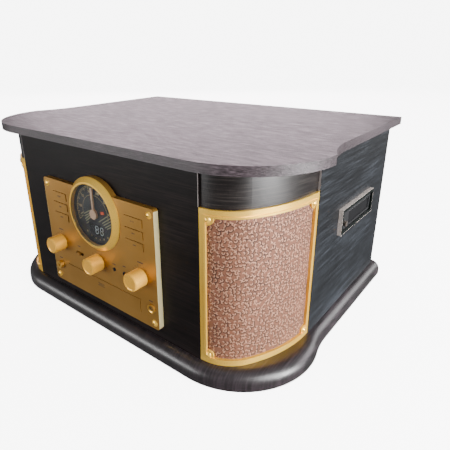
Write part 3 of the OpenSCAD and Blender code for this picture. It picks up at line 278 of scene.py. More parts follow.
world = bpy.data.worlds.new("studio_air")
bpy.context.scene.world = world
world.use_nodes = True
world.node_tree.nodes["Background"].inputs["Color"].default_value = linear("#FBFBFC")
world.node_tree.nodes["Background"].inputs["Strength"].default_value = 0.2
soft_panel("right_key", (1450, -420, 620), (600, 800), 30)
soft_panel("low_right_panel", (1300, 20, 150), (380, 480), 36)
soft_panel("back_right_panel", (1300, 1500, 600), (1000, 900), 20)
back_panel_lamp = soft_panel("back_panel", (-1500, 1850, 1150), (2600, 1500), 54)
back_panel_lamp.color = linear("#FFEAF4")[:3]
soft_panel("top_panel", (100, -200, 1700), (1500, 1500), 4)
soft_panel("front_left_panel", (-900, -1500, 160), (1200, 500), 22)
print("lamps:", len(bpy.data.lights))

# %% [markdown]
# ## Wood-grain vinyl
# The cabinet boards wear a thin PVC foil, printed almost black and pressed with a fine wood
# grain. The eye sees short streaks along the board, a little lighter than the ground, which break
# up the gloss. Noise that is stretched along the board gives such streaks: 45 mm long and about a
# millimetre wide. Clouds of 120 mm, mixed in at 3 parts in 10, make the print lighter and darker.

# %% Vinyl
STREAK = (45, 45, 1.1)


def wood_vinyl(name, dark, mid, pale, streak=STREAK, rough=(0.34, 0.52), deep=0.12, **shine):
    """The streaks, noise of 'streak' mm in x, y and z, set tint, gloss and relief together."""
    mat = finish(name, **shine)
    fine = noise(mat, streak, detail=5.0, rough=0.65)
    mixed = add(mat, "Mix", {0: 0.3, 2: fine, 3: noise(mat, (120, 120, 45))})[0]
    tint = tinted(mat, mixed, (0.36, dark), (0.66, pale), (0.5, mid))
    gloss = ranged(mat, fine, *rough, start=0.3, end=0.7)
    relief = relief_of(mat, fine, 0.5, deep)
    links = {"Base Color": tint, "Roughness": gloss, "Normal": relief, "Coat Normal": relief}
    return finish(name, links)


print("streaks of the boards in mm:", STREAK)

# %% The vinyl in five copies: the side, corner and lid copies are painted lighter where light falls
# Front and back lie in shade: a warm black that hardly shines.
front_foil = wood_vinyl("wood-grain vinyl, front", "#080606", "#120D0D", "#241C1B",
                        Specular_IOR_Level=0.1)
# The sides catch the room at a flat angle: their copy is painted a cool slate with pale streaks, a
# painted reflection of the room.
side_foil = wood_vinyl("wood-grain vinyl, side, painted reflection", "#0B0C0E", "#15171A", "#30343A",
                       Specular_IOR_Level=0.26)
# On the bent corners the foil is stretched, so it is smoother and carries a long highlight; its copy is
# also painted a little paler, a painted highlight.
corner_foil = wood_vinyl("wood-grain vinyl, corner, painted highlight", "#0A0808", "#181413", "#38322F", (40, 40, 0.9),
                         (0.28, 0.44), Specular_IOR_Level=0.45)
# The lid's copy is painted lighter, a painted sheen of the light from behind, with short wrinkles that
# keep its sheen from being a mirror.
lid_foil = wood_vinyl("wood-grain vinyl, lid, painted sheen", "#1E181A", "#352C30", "#5A4E54", (18, 2.6, 0.8),
                      (0.3, 0.6), 0.7)
# The plinth has a thin clear coat: its grain runs over the round edge under a narrow highlight.
plinth_foil = wood_vinyl("wood-grain vinyl, plinth", "#0E0A0C", "#1A1517", "#352C31", (1.3, 26, 26),
                         (0.32, 0.5), 0.1, Coat_Weight=0.3, Coat_Roughness=0.32)
dress(front_foil, "front_panel", "back_panel")
dress(side_foil, "side_panel_left", "side_panel_right")
dress(corner_foil, "corner_panel_left", "corner_panel_right")
dress(lid_foil, "lid")
dress(plinth_foil, "plinth")

# %% [markdown]
# ## Gold-sprayed plastic
# The control plate, the grille frames and the buttons are ABS with a sprayed gold coat. Such a
# coat is part metal flake and part lacquer: it spreads light softly and never mirrors, and one
# piece throws a warm glow on the next. A Metallic of about two thirds gives that, with the gold
# in Base Color. The ends of the plate are painted pale cream: a painted highlight where the light
# from the right falls on them.

# %% Gold
GOLD_GRAIN = (0.6, 0.6, 0.6)


def gilt(name, dark, pale, rough, cut=None, **sockets):
    """Clouds of 60 mm tint it. Beyond |x| = cut[1] mm it takes the colour cut[0], a painted highlight.
    """
    mat = finish(name, **sockets)
    fine = noise(mat, GOLD_GRAIN, detail=3.0)
    tint = tinted(mat, noise(mat, (60, 60, 60)), (0.35, dark), (0.65, pale))
    if cut:
        reach = calc(mat, "ABSOLUTE", add(mat, "SeparateXYZ", {0: spot_mm(mat)})["X"])
        tint = blend(mat, calc(mat, "GREATER_THAN", reach, cut[1]), tint, linear(cut[0]))
    return finish(name, {"Base Color": tint, "Roughness": ranged(mat, fine, *rough),
                         "Normal": relief_of(mat, fine, 0.4, 0.01)})


print("grain of the gold in mm:", GOLD_GRAIN)

# %% The golds
PLATE_SIDE = box_mm("control_panel")[1][0]
# Deep old gold, with its ends painted pale cream from 0.15 mm inside them: a painted highlight.
plate_edge_highlight = gilt("gold-sprayed ABS, painted edge highlight", "#9A6F2C", "#A57A38", (0.32, 0.42),
                 cut=("#FFEDB0", PLATE_SIDE - 0.15), Metallic=0.6)
plate_gold = gilt("gold-sprayed ABS, plate", "#9A6F2C", "#A57A38", (0.32, 0.42), Metallic=0.65)
# A smoother gold, and a paler one as a painted highlight, which lights up as a bright line round the
# cloth and the dial.
trim_gold = gilt("gold-sprayed ABS, trim", "#FFC448", "#FFD05C", (0.24, 0.34), Metallic=0.62)
# Rose lacquer: pale and soft against the black dial.
needle_gold = gilt("rose-gold lacquer, needle", "#EEC49C", "#F4CEA8", (0.35, 0.45), Metallic=0.4)
# Anodised metal: nearly all of its light is gold reflection.
jack_gold = gilt("satin anodised aluminium, socket", "#E9B04A", "#F2BE5E", (0.24, 0.34), Metallic=0.85)
dress(plate_edge_highlight, "control_panel")
dress(plate_gold, "disc_tray", "band_switch",
      *(f"button_{side}_{row}" for side in ("left", "right") for row in ("top", "middle", "bottom")))
dress(trim_gold, "grille_frame_left", "grille_frame_right", "screws", "dial_ring")
dress(needle_gold, "dial_needle")
dress(jack_gold, "phones_socket", "open_button")

# %% [markdown]
# ## Plain plastics, rubber, steel and boards
# The pieces inside and on the back are ordinary ones: matt ABS, zinc-plated steel, rubber and
# green fibreglass board. Each gets its own fine grain, so that none is one flat colour.

# %% Moulded and plated surfaces
def moulded(name, dark, pale, rough=(0.42, 0.55), grain=1.2, deep=0.03, **sockets):
    """Grain of 'grain' mm sets gloss and relief, and clouds of 30 mm set the tint."""
    mat = finish(name, **sockets)
    fine = noise(mat, (grain,) * 3, detail=3.0)
    tint = tinted(mat, noise(mat, (30, 30, 30)), (0.3, dark), (0.7, pale))
    return finish(name, {"Base Color": tint, "Roughness": ranged(mat, fine, *rough),
                         "Normal": relief_of(mat, fine, 0.3, deep)})


# Spark-eroded moulds leave a grain that makes the black soft; a polished mould leaves it glossy.
black_abs = moulded("moulded ABS, black", "#121214", "#1B1B1D")
glossy_abs = moulded("polished ABS, black", "#0C0C0E", "#131315", (0.15, 0.22))
dress(black_abs, "deck_plate", "speaker_left", "speaker_right", "disc_drive", "disc_hub", "platter",
      "arm_base", "arm_yoke", "cue_lever", "speed_selector", "cassette_deck", "socket_plate",
      "line_in_socket", "dial_face")
dress(glossy_abs, "cassette_flap")

# %% Metals
# Zinc plating shows coarse pale crystals. The grain of a brushed or turned piece is finer.
zinc = moulded("zinc-plated steel", "#A8ABAE", "#BDBFC2", (0.28, 0.4), 2.5, Metallic=1.0)
rose = moulded("brushed rose-silver steel", "#BFB0A6", "#D2C4BA", (0.25, 0.36), 1.0, Metallic=1.0)
brass = moulded("turned brass", "#B08D46", "#C09C52", (0.2, 0.3), 0.8, Metallic=1.0)
arm_grey = moulded("satin aluminium tube", "#9A9C9E", "#ACAEB0", (0.3, 0.42), 1.2, Metallic=0.8)
dress(zinc, "hinge_leaves_cabinet", "hinge_leaves_lid", "motor", "transformer")
dress(rose, "cassette_key")
dress(brass, "motor_pulley")
dress(arm_grey, "pickup_arm")

# %% Rubber, felt, board and acrylic
# Rubber and felt hardly shine, and felt has a pale bloom where it is seen from the side.
rubber = moulded("moulded rubber", "#141414", "#1E1D1D", (0.7, 0.85))
felt = moulded("pressed wool felt", "#2A2A2C", "#363638", (0.85, 0.95), 0.7, 0.25, Sheen_Weight=0.3)
solder_green = moulded("fibreglass circuit board", "#10482E", "#1A5A3A", (0.3, 0.42), 3.0)
# Acrylic is nearly as smooth as glass: smoked it looks black, clear it only adds a faint gleam.
acrylic = moulded("smoked acrylic", "#08080A", "#0E0E12", (0.08, 0.12), 4.0)
glass = moulded("clear acrylic lens", "#F4F6F8", "#FFFFFF", (0.02, 0.04), 5.0,
                Transmission_Weight=1.0, IOR=1.49, Specular_IOR_Level=0.12)
dress(rubber, "feet", "drive_belt")
dress(felt, "platter_mat")
dress(solder_green, "switch_board", "main_board")
dress(acrylic, "digit_window", "receiver_window")
dress(glass, "dial_glass")

# %% [markdown]
# ## The cassette bezel
# The bezel is a glossy black frame with a bright rose-silver rim round its outside. The place
# tells them apart: what lies within a quarter of a millimetre of the outer box, in y or in z, is
# the chromed rim, and all the rest is black plastic.

# %% Two-tone bezel
RIM = 0.25


def bezel_finish():
    """Black where |y| < half the width - RIM and |z| < half the height - RIM, from its middle."""
    mat = finish("chromed ABS rim with a black face", Specular_IOR_Level=0.2)
    low, high = box_mm("cassette_bezel")
    at = add(mat, "SeparateXYZ", {0: spot_mm(mat, middle=(low + high) / 2)})
    half = (high - low) / 2 - RIM
    within = [calc(mat, "LESS_THAN", calc(mat, "ABSOLUTE", at[axis]), half[k])
              for k, axis in ((1, "Y"), (2, "Z"))]
    black = calc(mat, "MULTIPLY", *within)
    speck = noise(mat, (2, 2, 2), detail=3.0)
    metal = tinted(mat, speck, (0.3, "#E0D0C6"), (0.7, "#EFE2DA"))
    shade = tinted(mat, speck, (0.3, "#0A0E0D"), (0.7, "#101513"))
    return finish(mat.name, {"Base Color": blend(mat, black, metal, shade),
                             "Metallic": ranged(mat, black, 0.45, 0.0),
                             "Roughness": ranged(mat, speck, 0.2, 0.32)})


dress(bezel_finish(), "cassette_bezel")
bare = [n for n, o in nodes.items() if not o.data.materials or o.data.materials[0] is None]
print("bare nodes:", bare)

# %% [markdown]
# ## Spun knob ends
# A knob is turned on a lathe, and the tool leaves fine rings round its axis. They spread each
# highlight across the end face. A sine of the distance from the axis gives the rings: one each
# 0.9 mm, coarser than real so that they show. Every knob has its own axis, so its own finish.

# %% Spun gold
RING_TURN = 6.98  # radians for each mm from the axis: a full turn, and so a ring, each 0.9 mm
KNOB_AXES = {"knob_function": (-69.3, 93.3), "knob_tuning": (0.0, 87.7), "knob_volume": (69.3, 93.3)}


def spun_gold(name, x, z):
    """Relief = sin(RING_TURN x r), where r is the distance from the knob's axis in the xz plane."""
    mat = finish(name, Metallic=0.45)
    at = add(mat, "SeparateXYZ", {0: spot_mm(mat, middle=(x, 0, z))})
    flat = add(mat, "CombineXYZ", {"X": at["X"], "Y": at["Z"]})["Vector"]
    reach = add(mat, "VectorMath", {0: flat}, operation="LENGTH")["Value"]
    wave = calc(mat, "SINE", calc(mat, "MULTIPLY", reach, RING_TURN))
    fine = noise(mat, GOLD_GRAIN, detail=3.0)
    return finish(name, {"Base Color": tinted(mat, fine, (0.3, "#FFB93E"), (0.7, "#FFC452")),
                         "Roughness": ranged(mat, fine, 0.24, 0.34),
                         "Normal": relief_of(mat, wave, 0.6, 0.03)})


for knob, axis in KNOB_AXES.items():
    dress(spun_gold("spun anodised aluminium, " + knob.replace("_", " "), *axis), knob)

# %% [markdown]
# ## The rounded plinth
# The plinth is a board whose edge was cut with a round-over bit and then wrapped in foil. CAD
# has its plan and its round. Here one profile is carried along the plan, so that the long
# highlight on the round runs without a break. The profile has a small bevel below, a straight
# side, and a quarter circle above. Insetting the plan by d makes each outer arc d smaller and
# each hollow arc d larger, so the moulding is equally wide everywhere.

# %% Plan of the plinth
CABINET_SHIFT = 5.125
SIDE_X, BACK_Y = 217, 163.85
COVE_Y, COVE_R, COVE_TURN = -20.08, 120, 14.84
CORNER_AT, CORNER_R = (134, -73.85), 90
PLINTH_LOW, PLINTH_HIGH, NOSE_R = 2.5, 22, 12


def arc(middle, radius, start, end, steps):
    """Points on a circle: middle + radius (cos t, sin t), with t from start to end in degrees."""
    t = np.radians(np.linspace(start, end, steps))
    return np.stack([middle[0] + radius * np.cos(t), middle[1] + radius * np.sin(t)], 1)


def plinth_plan(d):
    """Side, hollow, corner and half the front, each d further in, then the same mirrored in x."""
    side = np.array([[SIDE_X - d, BACK_Y], [SIDE_X - d, COVE_Y]])
    hollow = arc((SIDE_X + COVE_R, COVE_Y), COVE_R + d, 180, 180 + COVE_TURN, 14)
    corner = arc(CORNER_AT, CORNER_R - d, COVE_TURN, -90, 44)
    half = np.vstack([side, hollow[1:], corner[1:]])
    return np.vstack([half, half[::-1] * (-1, 1)]) + (0, CABINET_SHIFT)


print("points on the plan:", len(plinth_plan(0)))

# %% Plinth
def outward(piece):
    """Turns all faces of a closed mesh outwards."""
    work = bmesh.new()
    work.from_mesh(piece.data)
    bmesh.ops.recalc_face_normals(work, faces=work.faces)
    work.to_mesh(piece.data)
    work.free()
    return piece


bevel = [[14, PLINTH_LOW], [1, PLINTH_LOW], [0, PLINTH_LOW + 1]]
nose = arc((NOSE_R, PLINTH_HIGH - NOSE_R), NOSE_R, 180, 90, 13)
profile = np.vstack([bevel, nose, [[16, PLINTH_HIGH]]])
rings = np.array([np.insert(plinth_plan(d), 2, z, axis=1) for d, z in profile])
count, around = rings.shape[:2]
first, last = np.arange(count) * around, np.arange(count) * around + around - 1
caps = [list(range(around)), list(range((count - 1) * around, count * around)),
        first.tolist() + last[::-1].tolist()]
moulding = outward(show("plinth_moulding", rings.reshape(-1, 3), quads(count, around).tolist() + caps))
moulding.data.set_sharp_from_angle(angle=np.radians(35))
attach(moulding, "cabinet")
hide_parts("plinth")
dress(plinth_foil, "plinth_moulding")

# %% [markdown]
# ## Speaker cloth
# The corner speakers sit behind a copper-pink cloth that is pressed with small crescent-shaped
# ridges. It is stretched over the round corner, so it is one sheet on a grid: one number runs
# along the corner, from its tight bend into its wide one, and the other runs upwards. About 1180
# ridges stand on a square lattice, each moved and turned by a seeded random draw. A ridge is part
# of a small ring: its height falls off as exp(-(distance / width)^2) from that ring, and where
# ridges cross, the higher one shows. Beside it, on the side away from the light, lies a painted
# shadow, kept in the field called hollow. All ridges are worked out at once, each on its own
# window of the grid, and np.maximum.at puts them together.

# %% Cloth relief
CLOTH_STEP, RIDGES = 0.5, 1150
# Widths in mm of the ridges and of the painted shadow beside them, and how far out that shadow lies.
RIDGE_WIDE, SHADOW_WIDE, SHADOW_OFF = 0.45, 0.4, 0.85


def ridge_field(rows, cols, seed):
    """Two fields on the grid, from 0 to 1: the ridges, and a painted shadow just beside them on the
    side away from the light.
    """
    dice = np.random.default_rng(seed)
    pitch = np.sqrt(rows * cols * CLOTH_STEP**2 / RIDGES)
    lattice = np.mgrid[0:rows * CLOTH_STEP:pitch, 0:cols * CLOTH_STEP:pitch].reshape(2, -1).T
    middle = lattice + dice.uniform(-0.3, 0.3, lattice.shape) * pitch
    radius, facing = dice.uniform(0.9, 1.3, len(middle)), dice.uniform(0, 2 * np.pi, len(middle))
    reach = np.arange(-6, 7)
    cell = np.round(middle / CLOTH_STEP).astype(int)
    r = cell[:, :1, None] + reach[None, :, None] + 0 * reach
    c = cell[:, 1:, None] + reach[None, None, :] + 0 * reach[:, None]
    up, along = r * CLOTH_STEP - middle[:, :1, None], c * CLOTH_STEP - middle[:, 1:, None]
    angle = np.arctan2(up, along)
    off_ring = np.abs(np.hypot(up, along) - radius[:, None, None])
    arm = np.clip((np.cos(angle - facing[:, None, None]) + 0.3) * 3, 0, 1)
    away_from_light = 0.55 + 0.45 * np.cos(angle + 0.25 * np.pi)
    ridge = arm * np.exp(-((off_ring / RIDGE_WIDE) ** 2))
    # The hollow field is a painted shadow beside each ridge, darkest on the side away from the light.
    hollow = arm * away_from_light * np.exp(-(((off_ring - SHADOW_OFF) / SHADOW_WIDE) ** 2))
    inside = (r >= 0) & (r < rows) & (c >= 0) & (c < cols)
    fields = np.zeros((2, rows, cols))
    for field, value in zip(fields, (ridge, hollow)):
        np.maximum.at(field, (r[inside], c[inside]), value[inside])
    return fields


print("grid step of the cloth:", CLOTH_STEP, "mm, ridges wanted:", RIDGES)

# %% The cloth on its corner
CLOTH_TALL, CLOTH_LONG = (29.7, 176.9), (7.3, 126.9)
TIGHT_AT, TIGHT_R = (141.65, -102.1), 49.0
WIDE_AT, WIDE_R = (57.88, -48.0), 148.72
TIGHT_TURN = np.radians(57.14)
CLOTH_OFF, RIDGE_TALL = 1.9, 0.3


def corner_line(s, off):
    """Plan of the corner: a point s mm along the two bends, off mm inside the veneer."""
    first = s < TIGHT_R * TIGHT_TURN
    turned = np.where(first, s / TIGHT_R, (s - TIGHT_R * TIGHT_TURN) / WIDE_R + TIGHT_TURN) - np.pi / 2
    radius = np.where(first, TIGHT_R, WIDE_R) - off
    x = np.where(first, TIGHT_AT[0], WIDE_AT[0]) + radius * np.cos(turned)
    return x, np.where(first, TIGHT_AT[1], WIDE_AT[1]) + radius * np.sin(turned) + CABINET_SHIFT


def speaker_cloth(name, side, seed):
    """The sheet: its ridges stand up to 0.3 mm proud, and their field is kept for the finish."""
    up, along = np.arange(*CLOTH_TALL, CLOTH_STEP), np.arange(*CLOTH_LONG, CLOTH_STEP)
    ridge, hollow = ridge_field(len(up), len(along), seed)
    x, y = corner_line(np.broadcast_to(along, ridge.shape), CLOTH_OFF - RIDGE_TALL * ridge)
    points = np.stack([side * x, y, np.broadcast_to(up[:, None], ridge.shape)], -1).reshape(-1, 3)
    faces = quads(*ridge.shape) if side > 0 else quads(*ridge.shape)[:, ::-1]
    cloth = show(name, points, faces.tolist())
    # The hollow field holds a painted shadow for the finish.
    for label, field in (("ridge", ridge), ("hollow", hollow)):
        cloth.data.attributes.new(label, "FLOAT", "POINT").data.foreach_set("value", field.ravel())
    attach(cloth, "cabinet")
    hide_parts(name.replace("speaker_cloth", "grille_cloth"))


speaker_cloth("speaker_cloth_left", -1, 11)
speaker_cloth("speaker_cloth_right", 1, 12)

# %% Cloth finish
def pressed_cloth():
    """Copper thread with a soft shine: the ridges are painted paler as a painted highlight, and the
    painted shadow beside them is nearly black.
    """
    mat = finish("pressed metallic speaker cloth", Metallic=0.2)
    ridge = add(mat, "Attribute", attribute_name="ridge")["Fac"]
    hollow = add(mat, "Attribute", attribute_name="hollow")["Fac"]
    thread = noise(mat, (0.8, 0.8, 0.8))
    ground = tinted(mat, noise(mat, (25, 25, 25)), (0.3, "#68412F"), (0.7, "#7A4F3B"))
    # The hollow field darkens the ground to near black: a painted shadow.
    dark = ranged(mat, calc(mat, "SUBTRACT", hollow, ridge), 0.0, 1.0, end=0.28)
    shaded = blend(mat, dark, ground, linear("#0E0603"))
    # Ridges are painted paler: a painted highlight.
    return finish(mat.name, {"Base Color": blend(mat, ridge, shaded, linear("#B7866A")),
                             "Roughness": ranged(mat, ridge, 0.7, 0.42),
                             "Normal": relief_of(mat, thread, 0.5, 0.15)})


dress(pressed_cloth(), "speaker_cloth_left", "speaker_cloth_right")

# %% [markdown]
# ## Marks on flat faces
# The dial, the buttons and the panel carry fine printed marks: scale lines, numbers and plain
# symbols. Each mark is a thin flat plate of its own outline, a tenth of a millimetre high, so it
# stays sharp however close the camera comes. All plates of one piece are worked out at once from
# an array of outlines: corner (a, b) lies at the origin + (a, 0, b), and the front looks to -y.

# %% Printed plates
INK_RISE = 0.08


def printed(name, outlines, origin, rise=INK_RISE):
    """Four-cornered plates whose fronts stand 'rise' out of the face and whose backs lie in it."""
    outlines = np.asarray(outlines, float)
    flat = np.insert(outlines, 1, 0, axis=-1) + origin
    points = np.concatenate([flat - (0, rise, 0), flat + (0, 0.02, 0)], 1).reshape(-1, 3)
    box = np.array([[0, 1, 2, 3], [7, 6, 5, 4], [0, 4, 5, 1], [1, 5, 6, 2], [2, 6, 7, 3], [3, 7, 4, 0]])
    faces = np.arange(len(outlines))[:, None, None] * 8 + box
    return show(name, points, faces.reshape(-1, 4).tolist(), smooth=False)


def lay(piece, mat, body):
    """A print rides on a body and takes its finish."""
    dress(mat, piece.name)
    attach(piece, body)


print("prints stand", INK_RISE, "mm proud")

# %% Outlines
def bars(lines, width):
    """Each line from (a, b) to (a, b) gets half the width on both sides."""
    start, end = np.asarray(lines, float).reshape(-1, 2, 2).transpose(1, 0, 2)
    along = (end - start) / np.linalg.norm(end - start, axis=1, keepdims=True)
    side = along[:, ::-1] * (-1, 1) * np.reshape(width, (-1, 1)) / 2
    return np.stack([start - side, end - side, end + side, start + side], 1)


def spokes(degrees, inner, outer):
    """Lines that point away from the middle; 0 degrees is straight up, and they count clockwise."""
    t = np.radians(np.asarray(degrees, float))
    way = np.stack([np.sin(t), np.cos(t)], 1)
    return np.concatenate([way * np.reshape(inner, (-1, 1)), way * np.reshape(outer, (-1, 1))], 1)


def hoop(radius, start, end, steps):
    """A thin ring or part of one, as short lines between points on its circle."""
    t = np.radians(np.linspace(start, end, steps + 1))
    dots = radius * np.stack([np.sin(t), np.cos(t)], 1)
    return np.concatenate([dots[:-1], dots[1:]], 1)


print("one line becomes a plate with", bars([[0, 0, 1, 0]], 1).shape[1], "corners")

# %% [markdown]
# ## The dial
# Behind the clear lens lies a black face with slanting olive lines to both sides of the hub, a
# tuning scale round the top, and a window with two number digits. The inks are matt, so they stay
# readable where the lens gleams.

# %% Dial face
DIAL_AT = (0, box_mm("dial_face")[0][1], 145.5)
TICK_FOOT, LONG_FOOT, TICK_TOP = 29.6, 28.0, 31.2
cream_ink = moulded("screen print, cream ink", "#D2BC80", "#E0CC92", (0.5, 0.6), 0.6)
olive_ink = moulded("screen print, olive ink", "#8C8A68", "#9E9B78", (0.5, 0.6), 0.6)
slanted = np.array([
    [5.1, -8.2, 20.4, 1.8], [10.9, -8.5, 28.4, 2.7], [13.1, -10.2, 29.6, -0.3],
    [15.2, -12.4, 28.2, -4.5], [18.3, -13.3, 27.8, -8.0], [-20.4, -4.2, -9.3, 1.9],
    [-19.6, -6.9, -9.9, -1.7], [-19.3, -10.4, -9.3, -3.3], [-17.9, -12.4, -8.9, -6.0],
    [-17.5, -15.2, -13.0, -12.4], [-26.5, -6.0, -22.0, -3.2], [-25.5, -9.0, -22.0, -6.7]])
lay(printed("dial_hatching", bars(slanted, 1.2), DIAL_AT), olive_ink, "cabinet")
steps = np.arange(-112, 113, 4)
long_step = steps % 16 == 0
feet = np.where(long_step, LONG_FOOT, TICK_FOOT)
ticks = bars(spokes(steps, feet, TICK_TOP), np.where(long_step, 0.7, 0.4))
rims = [bars(hoop(31.8, -114, 114, 76), 0.35), bars(hoop(21.5, -100, 100, 60), 0.3)]
scale = np.concatenate([ticks, *rims])
lay(printed("dial_scale", scale, DIAL_AT), cream_ink, "cabinet")

# %% [markdown]
# ## Numbers on the scale
# The scale has plain numbers, upright all round. Each number is a text curve that is made a mesh
# first. Its points are then moved as one array, because a curve that was moved before would lose
# its place in the export.

# %% Scale numbers
CAP_SHARE, NUMBER_DEEP, NUMBER_OUT = 0.73, 0.05, 0.03


def numbers(name, words, degrees, radius, tall):
    """Each number stands at the dial's middle + radius (sin t, cos t), t clockwise from the top."""
    points, faces, base = [], [], 0
    for word, angle in zip(words, np.radians(degrees)):
        curve = bpy.data.curves.new(word, "FONT")
        curve.body, curve.size, curve.extrude = word, tall / CAP_SHARE, NUMBER_DEEP
        curve.align_x, curve.align_y = "CENTER", "CENTER"
        holder = bpy.data.objects.new(word, curve)
        mesh = bpy.data.meshes.new_from_object(holder)
        flat = np.empty(len(mesh.vertices) * 3)
        loops, starts = np.empty(len(mesh.loops), int), np.empty(len(mesh.polygons), int)
        mesh.vertices.foreach_get("co", flat)
        mesh.loops.foreach_get("vertex_index", loops)
        mesh.polygons.foreach_get("loop_start", starts)
        at = np.array(DIAL_AT) + (radius * np.sin(angle), -NUMBER_OUT, radius * np.cos(angle))
        points.append(flat.reshape(-1, 3)[:, [0, 2, 1]] * (1, -1, 1) + at)
        faces += [part.tolist() for part in np.split(loops + base, starts[1:])]
        base += len(points[-1])
        bpy.data.objects.remove(holder)
        bpy.data.curves.remove(curve)
        bpy.data.meshes.remove(mesh)
    lay(show(name, np.vstack(points), faces, smooth=False), cream_ink, "cabinet")


numbers("dial_numbers_upper", ["88", "92", "96", "100", "104", "108"], np.arange(-80, 81, 32),
        25.3, 3.0)
numbers("dial_numbers_lower", ["0", "2", "4", "6", "8", "10"], (215, 200, 186, 172, 158, 143),
        29.8, 2.4)

# %% [markdown]
# ## Digits and signal lamp
# The display has two seven-segment digits: each is drawn from seven bars and leans a little to
# the right. A small orange lamp beside the hub glows faintly, so it keeps its colour in the shade.

# %% Digits and lamp
DIGIT_X, DIGIT_Z, DIGIT_WIDE, DIGIT_TALL = (0.9, 9.0), -18.6, 4.4, 8.6


def digit(x, z, wide, tall):
    """Seven bars of an 8: three level ones and four upright ones, with small gaps at the corners."""
    w, h, gap, lean = wide / 2, tall / 2, 0.45, 0.06
    level = [[-w + gap, k * h, w - gap, k * h] for k in (-1, 0, 1)]
    upright = [[s * w, k * (h - gap), s * w, k * gap] for s in (-1, 1) for k in (-1, 1)]
    lines = np.array(level + upright)
    lines[:, ::2] += lean * lines[:, 1::2]
    return lines + (x, z, x, z)


pale_led = moulded("seven-segment display bars", "#C8D4D8", "#DAE4E6", (0.4, 0.5), 0.6)
lamp_red = moulded("orange signal lamp, moulded polystyrene", "#E2542A", "#F07038", (0.3, 0.4), 0.8,
                   Emission_Color=linear("#E2502A"), Emission_Strength=0.25)
window_at = (0, box_mm("digit_window")[0][1], DIAL_AT[2])
glyphs = bars(np.vstack([digit(x, DIGIT_Z, DIGIT_WIDE, DIGIT_TALL) for x in DIGIT_X]), 0.95)
lay(printed("display_digits", glyphs, window_at), pale_led, "cabinet")
lamp = printed("signal_lamp", bars([[10.2, 3.0, 15.4, 4.4]], 3.0), DIAL_AT, rise=0.5)
lay(lamp, lamp_red, "cabinet")

# %% [markdown]
# ## Symbols on the buttons and the panel
# The buttons and knobs have tiny dark prints, and they are plain marks: play, next and back arrows
# on the right, short bars on the left, scale dots round the knobs, and a ring on the open button.
# Each sign rides on its own button, so that it moves in with it.

# %% Signs on the buttons
brown_ink = moulded("screen print, dark brown ink", "#2C1E0C", "#382812", (0.5, 0.6), 0.6)
SIGN = 1.7


def arrow(x, way=1):
    """A triangle that points along x: a plate whose far edge is only 0.04 mm tall."""
    shape = np.array([[[-0.5, -0.5], [0.5, -0.02 / SIGN], [0.5, 0.02 / SIGN], [-0.5, 0.5]]]) * SIGN
    if way < 0:
        shape = (shape * (-1, 1))[:, ::-1]
    return shape + (x, 0)


def stroke(x):
    """An upright bar as tall as the arrows."""
    return bars([[x, -SIGN / 2, x, SIGN / 2]], 0.4)


right_signs = {"top": [arrow(-1.6), stroke(0.6), stroke(1.6)],
               "middle": [arrow(-1.4), arrow(0.2), stroke(1.4)],
               "bottom": [arrow(1.4, -1), arrow(-0.2, -1), stroke(-1.4)]}
left_bars = {"top": 3.2, "middle": 2.2, "bottom": 2.7}
for row, signs in right_signs.items():
    w = left_bars[row]
    twin_bars = [bars([[-w, 0, w, 0]], 0.9), bars([[-w, -1.2, w - 1, -1.2]], 0.3)]
    for side, shapes in (("left", twin_bars), ("right", signs)):
        key = f"button_{side}_{row}"
        low, high = box_mm(key)
        middle = ((low[0] + high[0]) / 2, low[1], (low[2] + high[2]) / 2)
        lay(printed("sign_" + key, np.concatenate(shapes), middle), brown_ink, key)

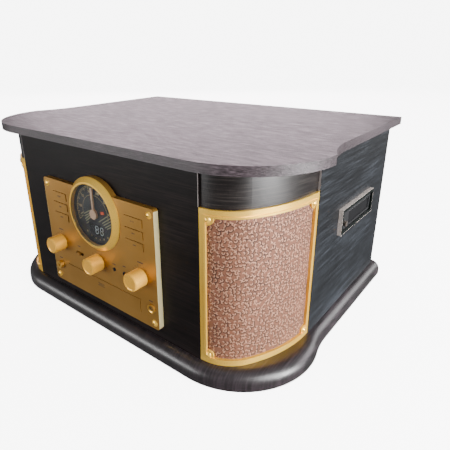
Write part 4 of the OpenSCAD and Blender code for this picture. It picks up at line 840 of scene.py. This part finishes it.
# %% Marks on the panel, the drawer and the open button
PLATE_Y, TRAY_Y, OPEN_Y = (
    box_mm(name)[0][1] for name in ("control_panel", "disc_tray", "open_button"))
dots = []
for x, z in KNOB_AXES.values():
    spread = spokes(np.linspace(-60, 60, 7) if x else np.linspace(-130, 130, 11), 12.2, 13.4)
    dots.append(bars(spread + (x, z, x, z), 0.5))
labels = bars([[-73.5, 109.5, -65, 109.5], [-4, 104.2, 4.5, 104.2], [65, 109.5, 73.5, 109.5],
               [-38.5, 96.5, -33.5, 96.5], [24.2, 93.5, 29.0, 93.5], [41, 96.3, 45.5, 96.3],
               [-81, 68.5, -75, 68.5], [78.8, 68.8, 84.6, 68.8]], 1.1)
panel_marks = printed("panel_marks", np.concatenate(dots + [labels]), (0, PLATE_Y, 0))
lay(panel_marks, brown_ink, "cabinet")
open_ring = np.concatenate([bars(hoop(2.5, 0, 360, 20), 0.6), bars([[-1.0, 0, 1.0, 0]], 2.0)])
open_at = (81.7, OPEN_Y, 59.8)
lay(printed("open_sign", open_ring, open_at), brown_ink, "open_button")
tray_lines = bars([[-6, 56.2, 6, 56.2], [-6, 59.6, 6, 59.6], [-4.5, 57.9, 4.5, 57.9]], 0.5)
lay(printed("tray_sign", tray_lines, (0, TRAY_Y, 0)), brown_ink, "disc_tray")

# %% [markdown]
# ## Screw heads and veneer joints
# The domed screws have a cross recess; two crossed dark bars show it as painted shade. Between the
# front board and each corner board a thin pale line shows above the grille frame, and so does a
# wider one on the edge of each side board: both are painted highlights.

# %% Recesses
painted_recess_shade = moulded("recess of a screw head, shaded brass", "#4A3414", "#5A421C", (0.4, 0.5), 0.5,
                      Metallic=0.6)
HEAD_RISE, SCREW_X, SCREW_Z = 1.9, (-85.5, 85.5), (43.3, 165.2)
# Crossed dark bars on each head: painted shade of the recess.
crosses = [bars([[x - 1.3, z - 0.4, x + 1.3, z + 0.4], [x - 0.4, z + 1.3, x + 0.4, z - 1.3]], 0.55)
           for x in SCREW_X for z in SCREW_Z]
recesses = printed("screw_recesses", np.concatenate(crosses), (0, PLATE_Y - HEAD_RISE, 0))
lay(recesses, painted_recess_shade, "cabinet")

# %% Pale joint lines, painted highlights
JOINT_LOW, JOINT_HIGH = 184.6, 219.4
joint_highlight_paint = moulded("pale joint line, painted highlight", "#8E8684", "#A39A97", (0.4, 0.5), 0.8)
# Thin pale lines along the joints and the side board edges: painted highlights.
for name, board, x, width in (("front_joints", "front_panel", 141.7, 0.55),
                              ("side_board_edges", "side_panel_right", 205.7, 2.2)):
    lines = bars([[s * x, JOINT_LOW, s * x, JOINT_HIGH] for s in (-1, 1)], width)
    edges = printed(name, lines, (0, box_mm(board)[0][1], 0), rise=0.05)
    lay(edges, joint_highlight_paint, "cabinet")
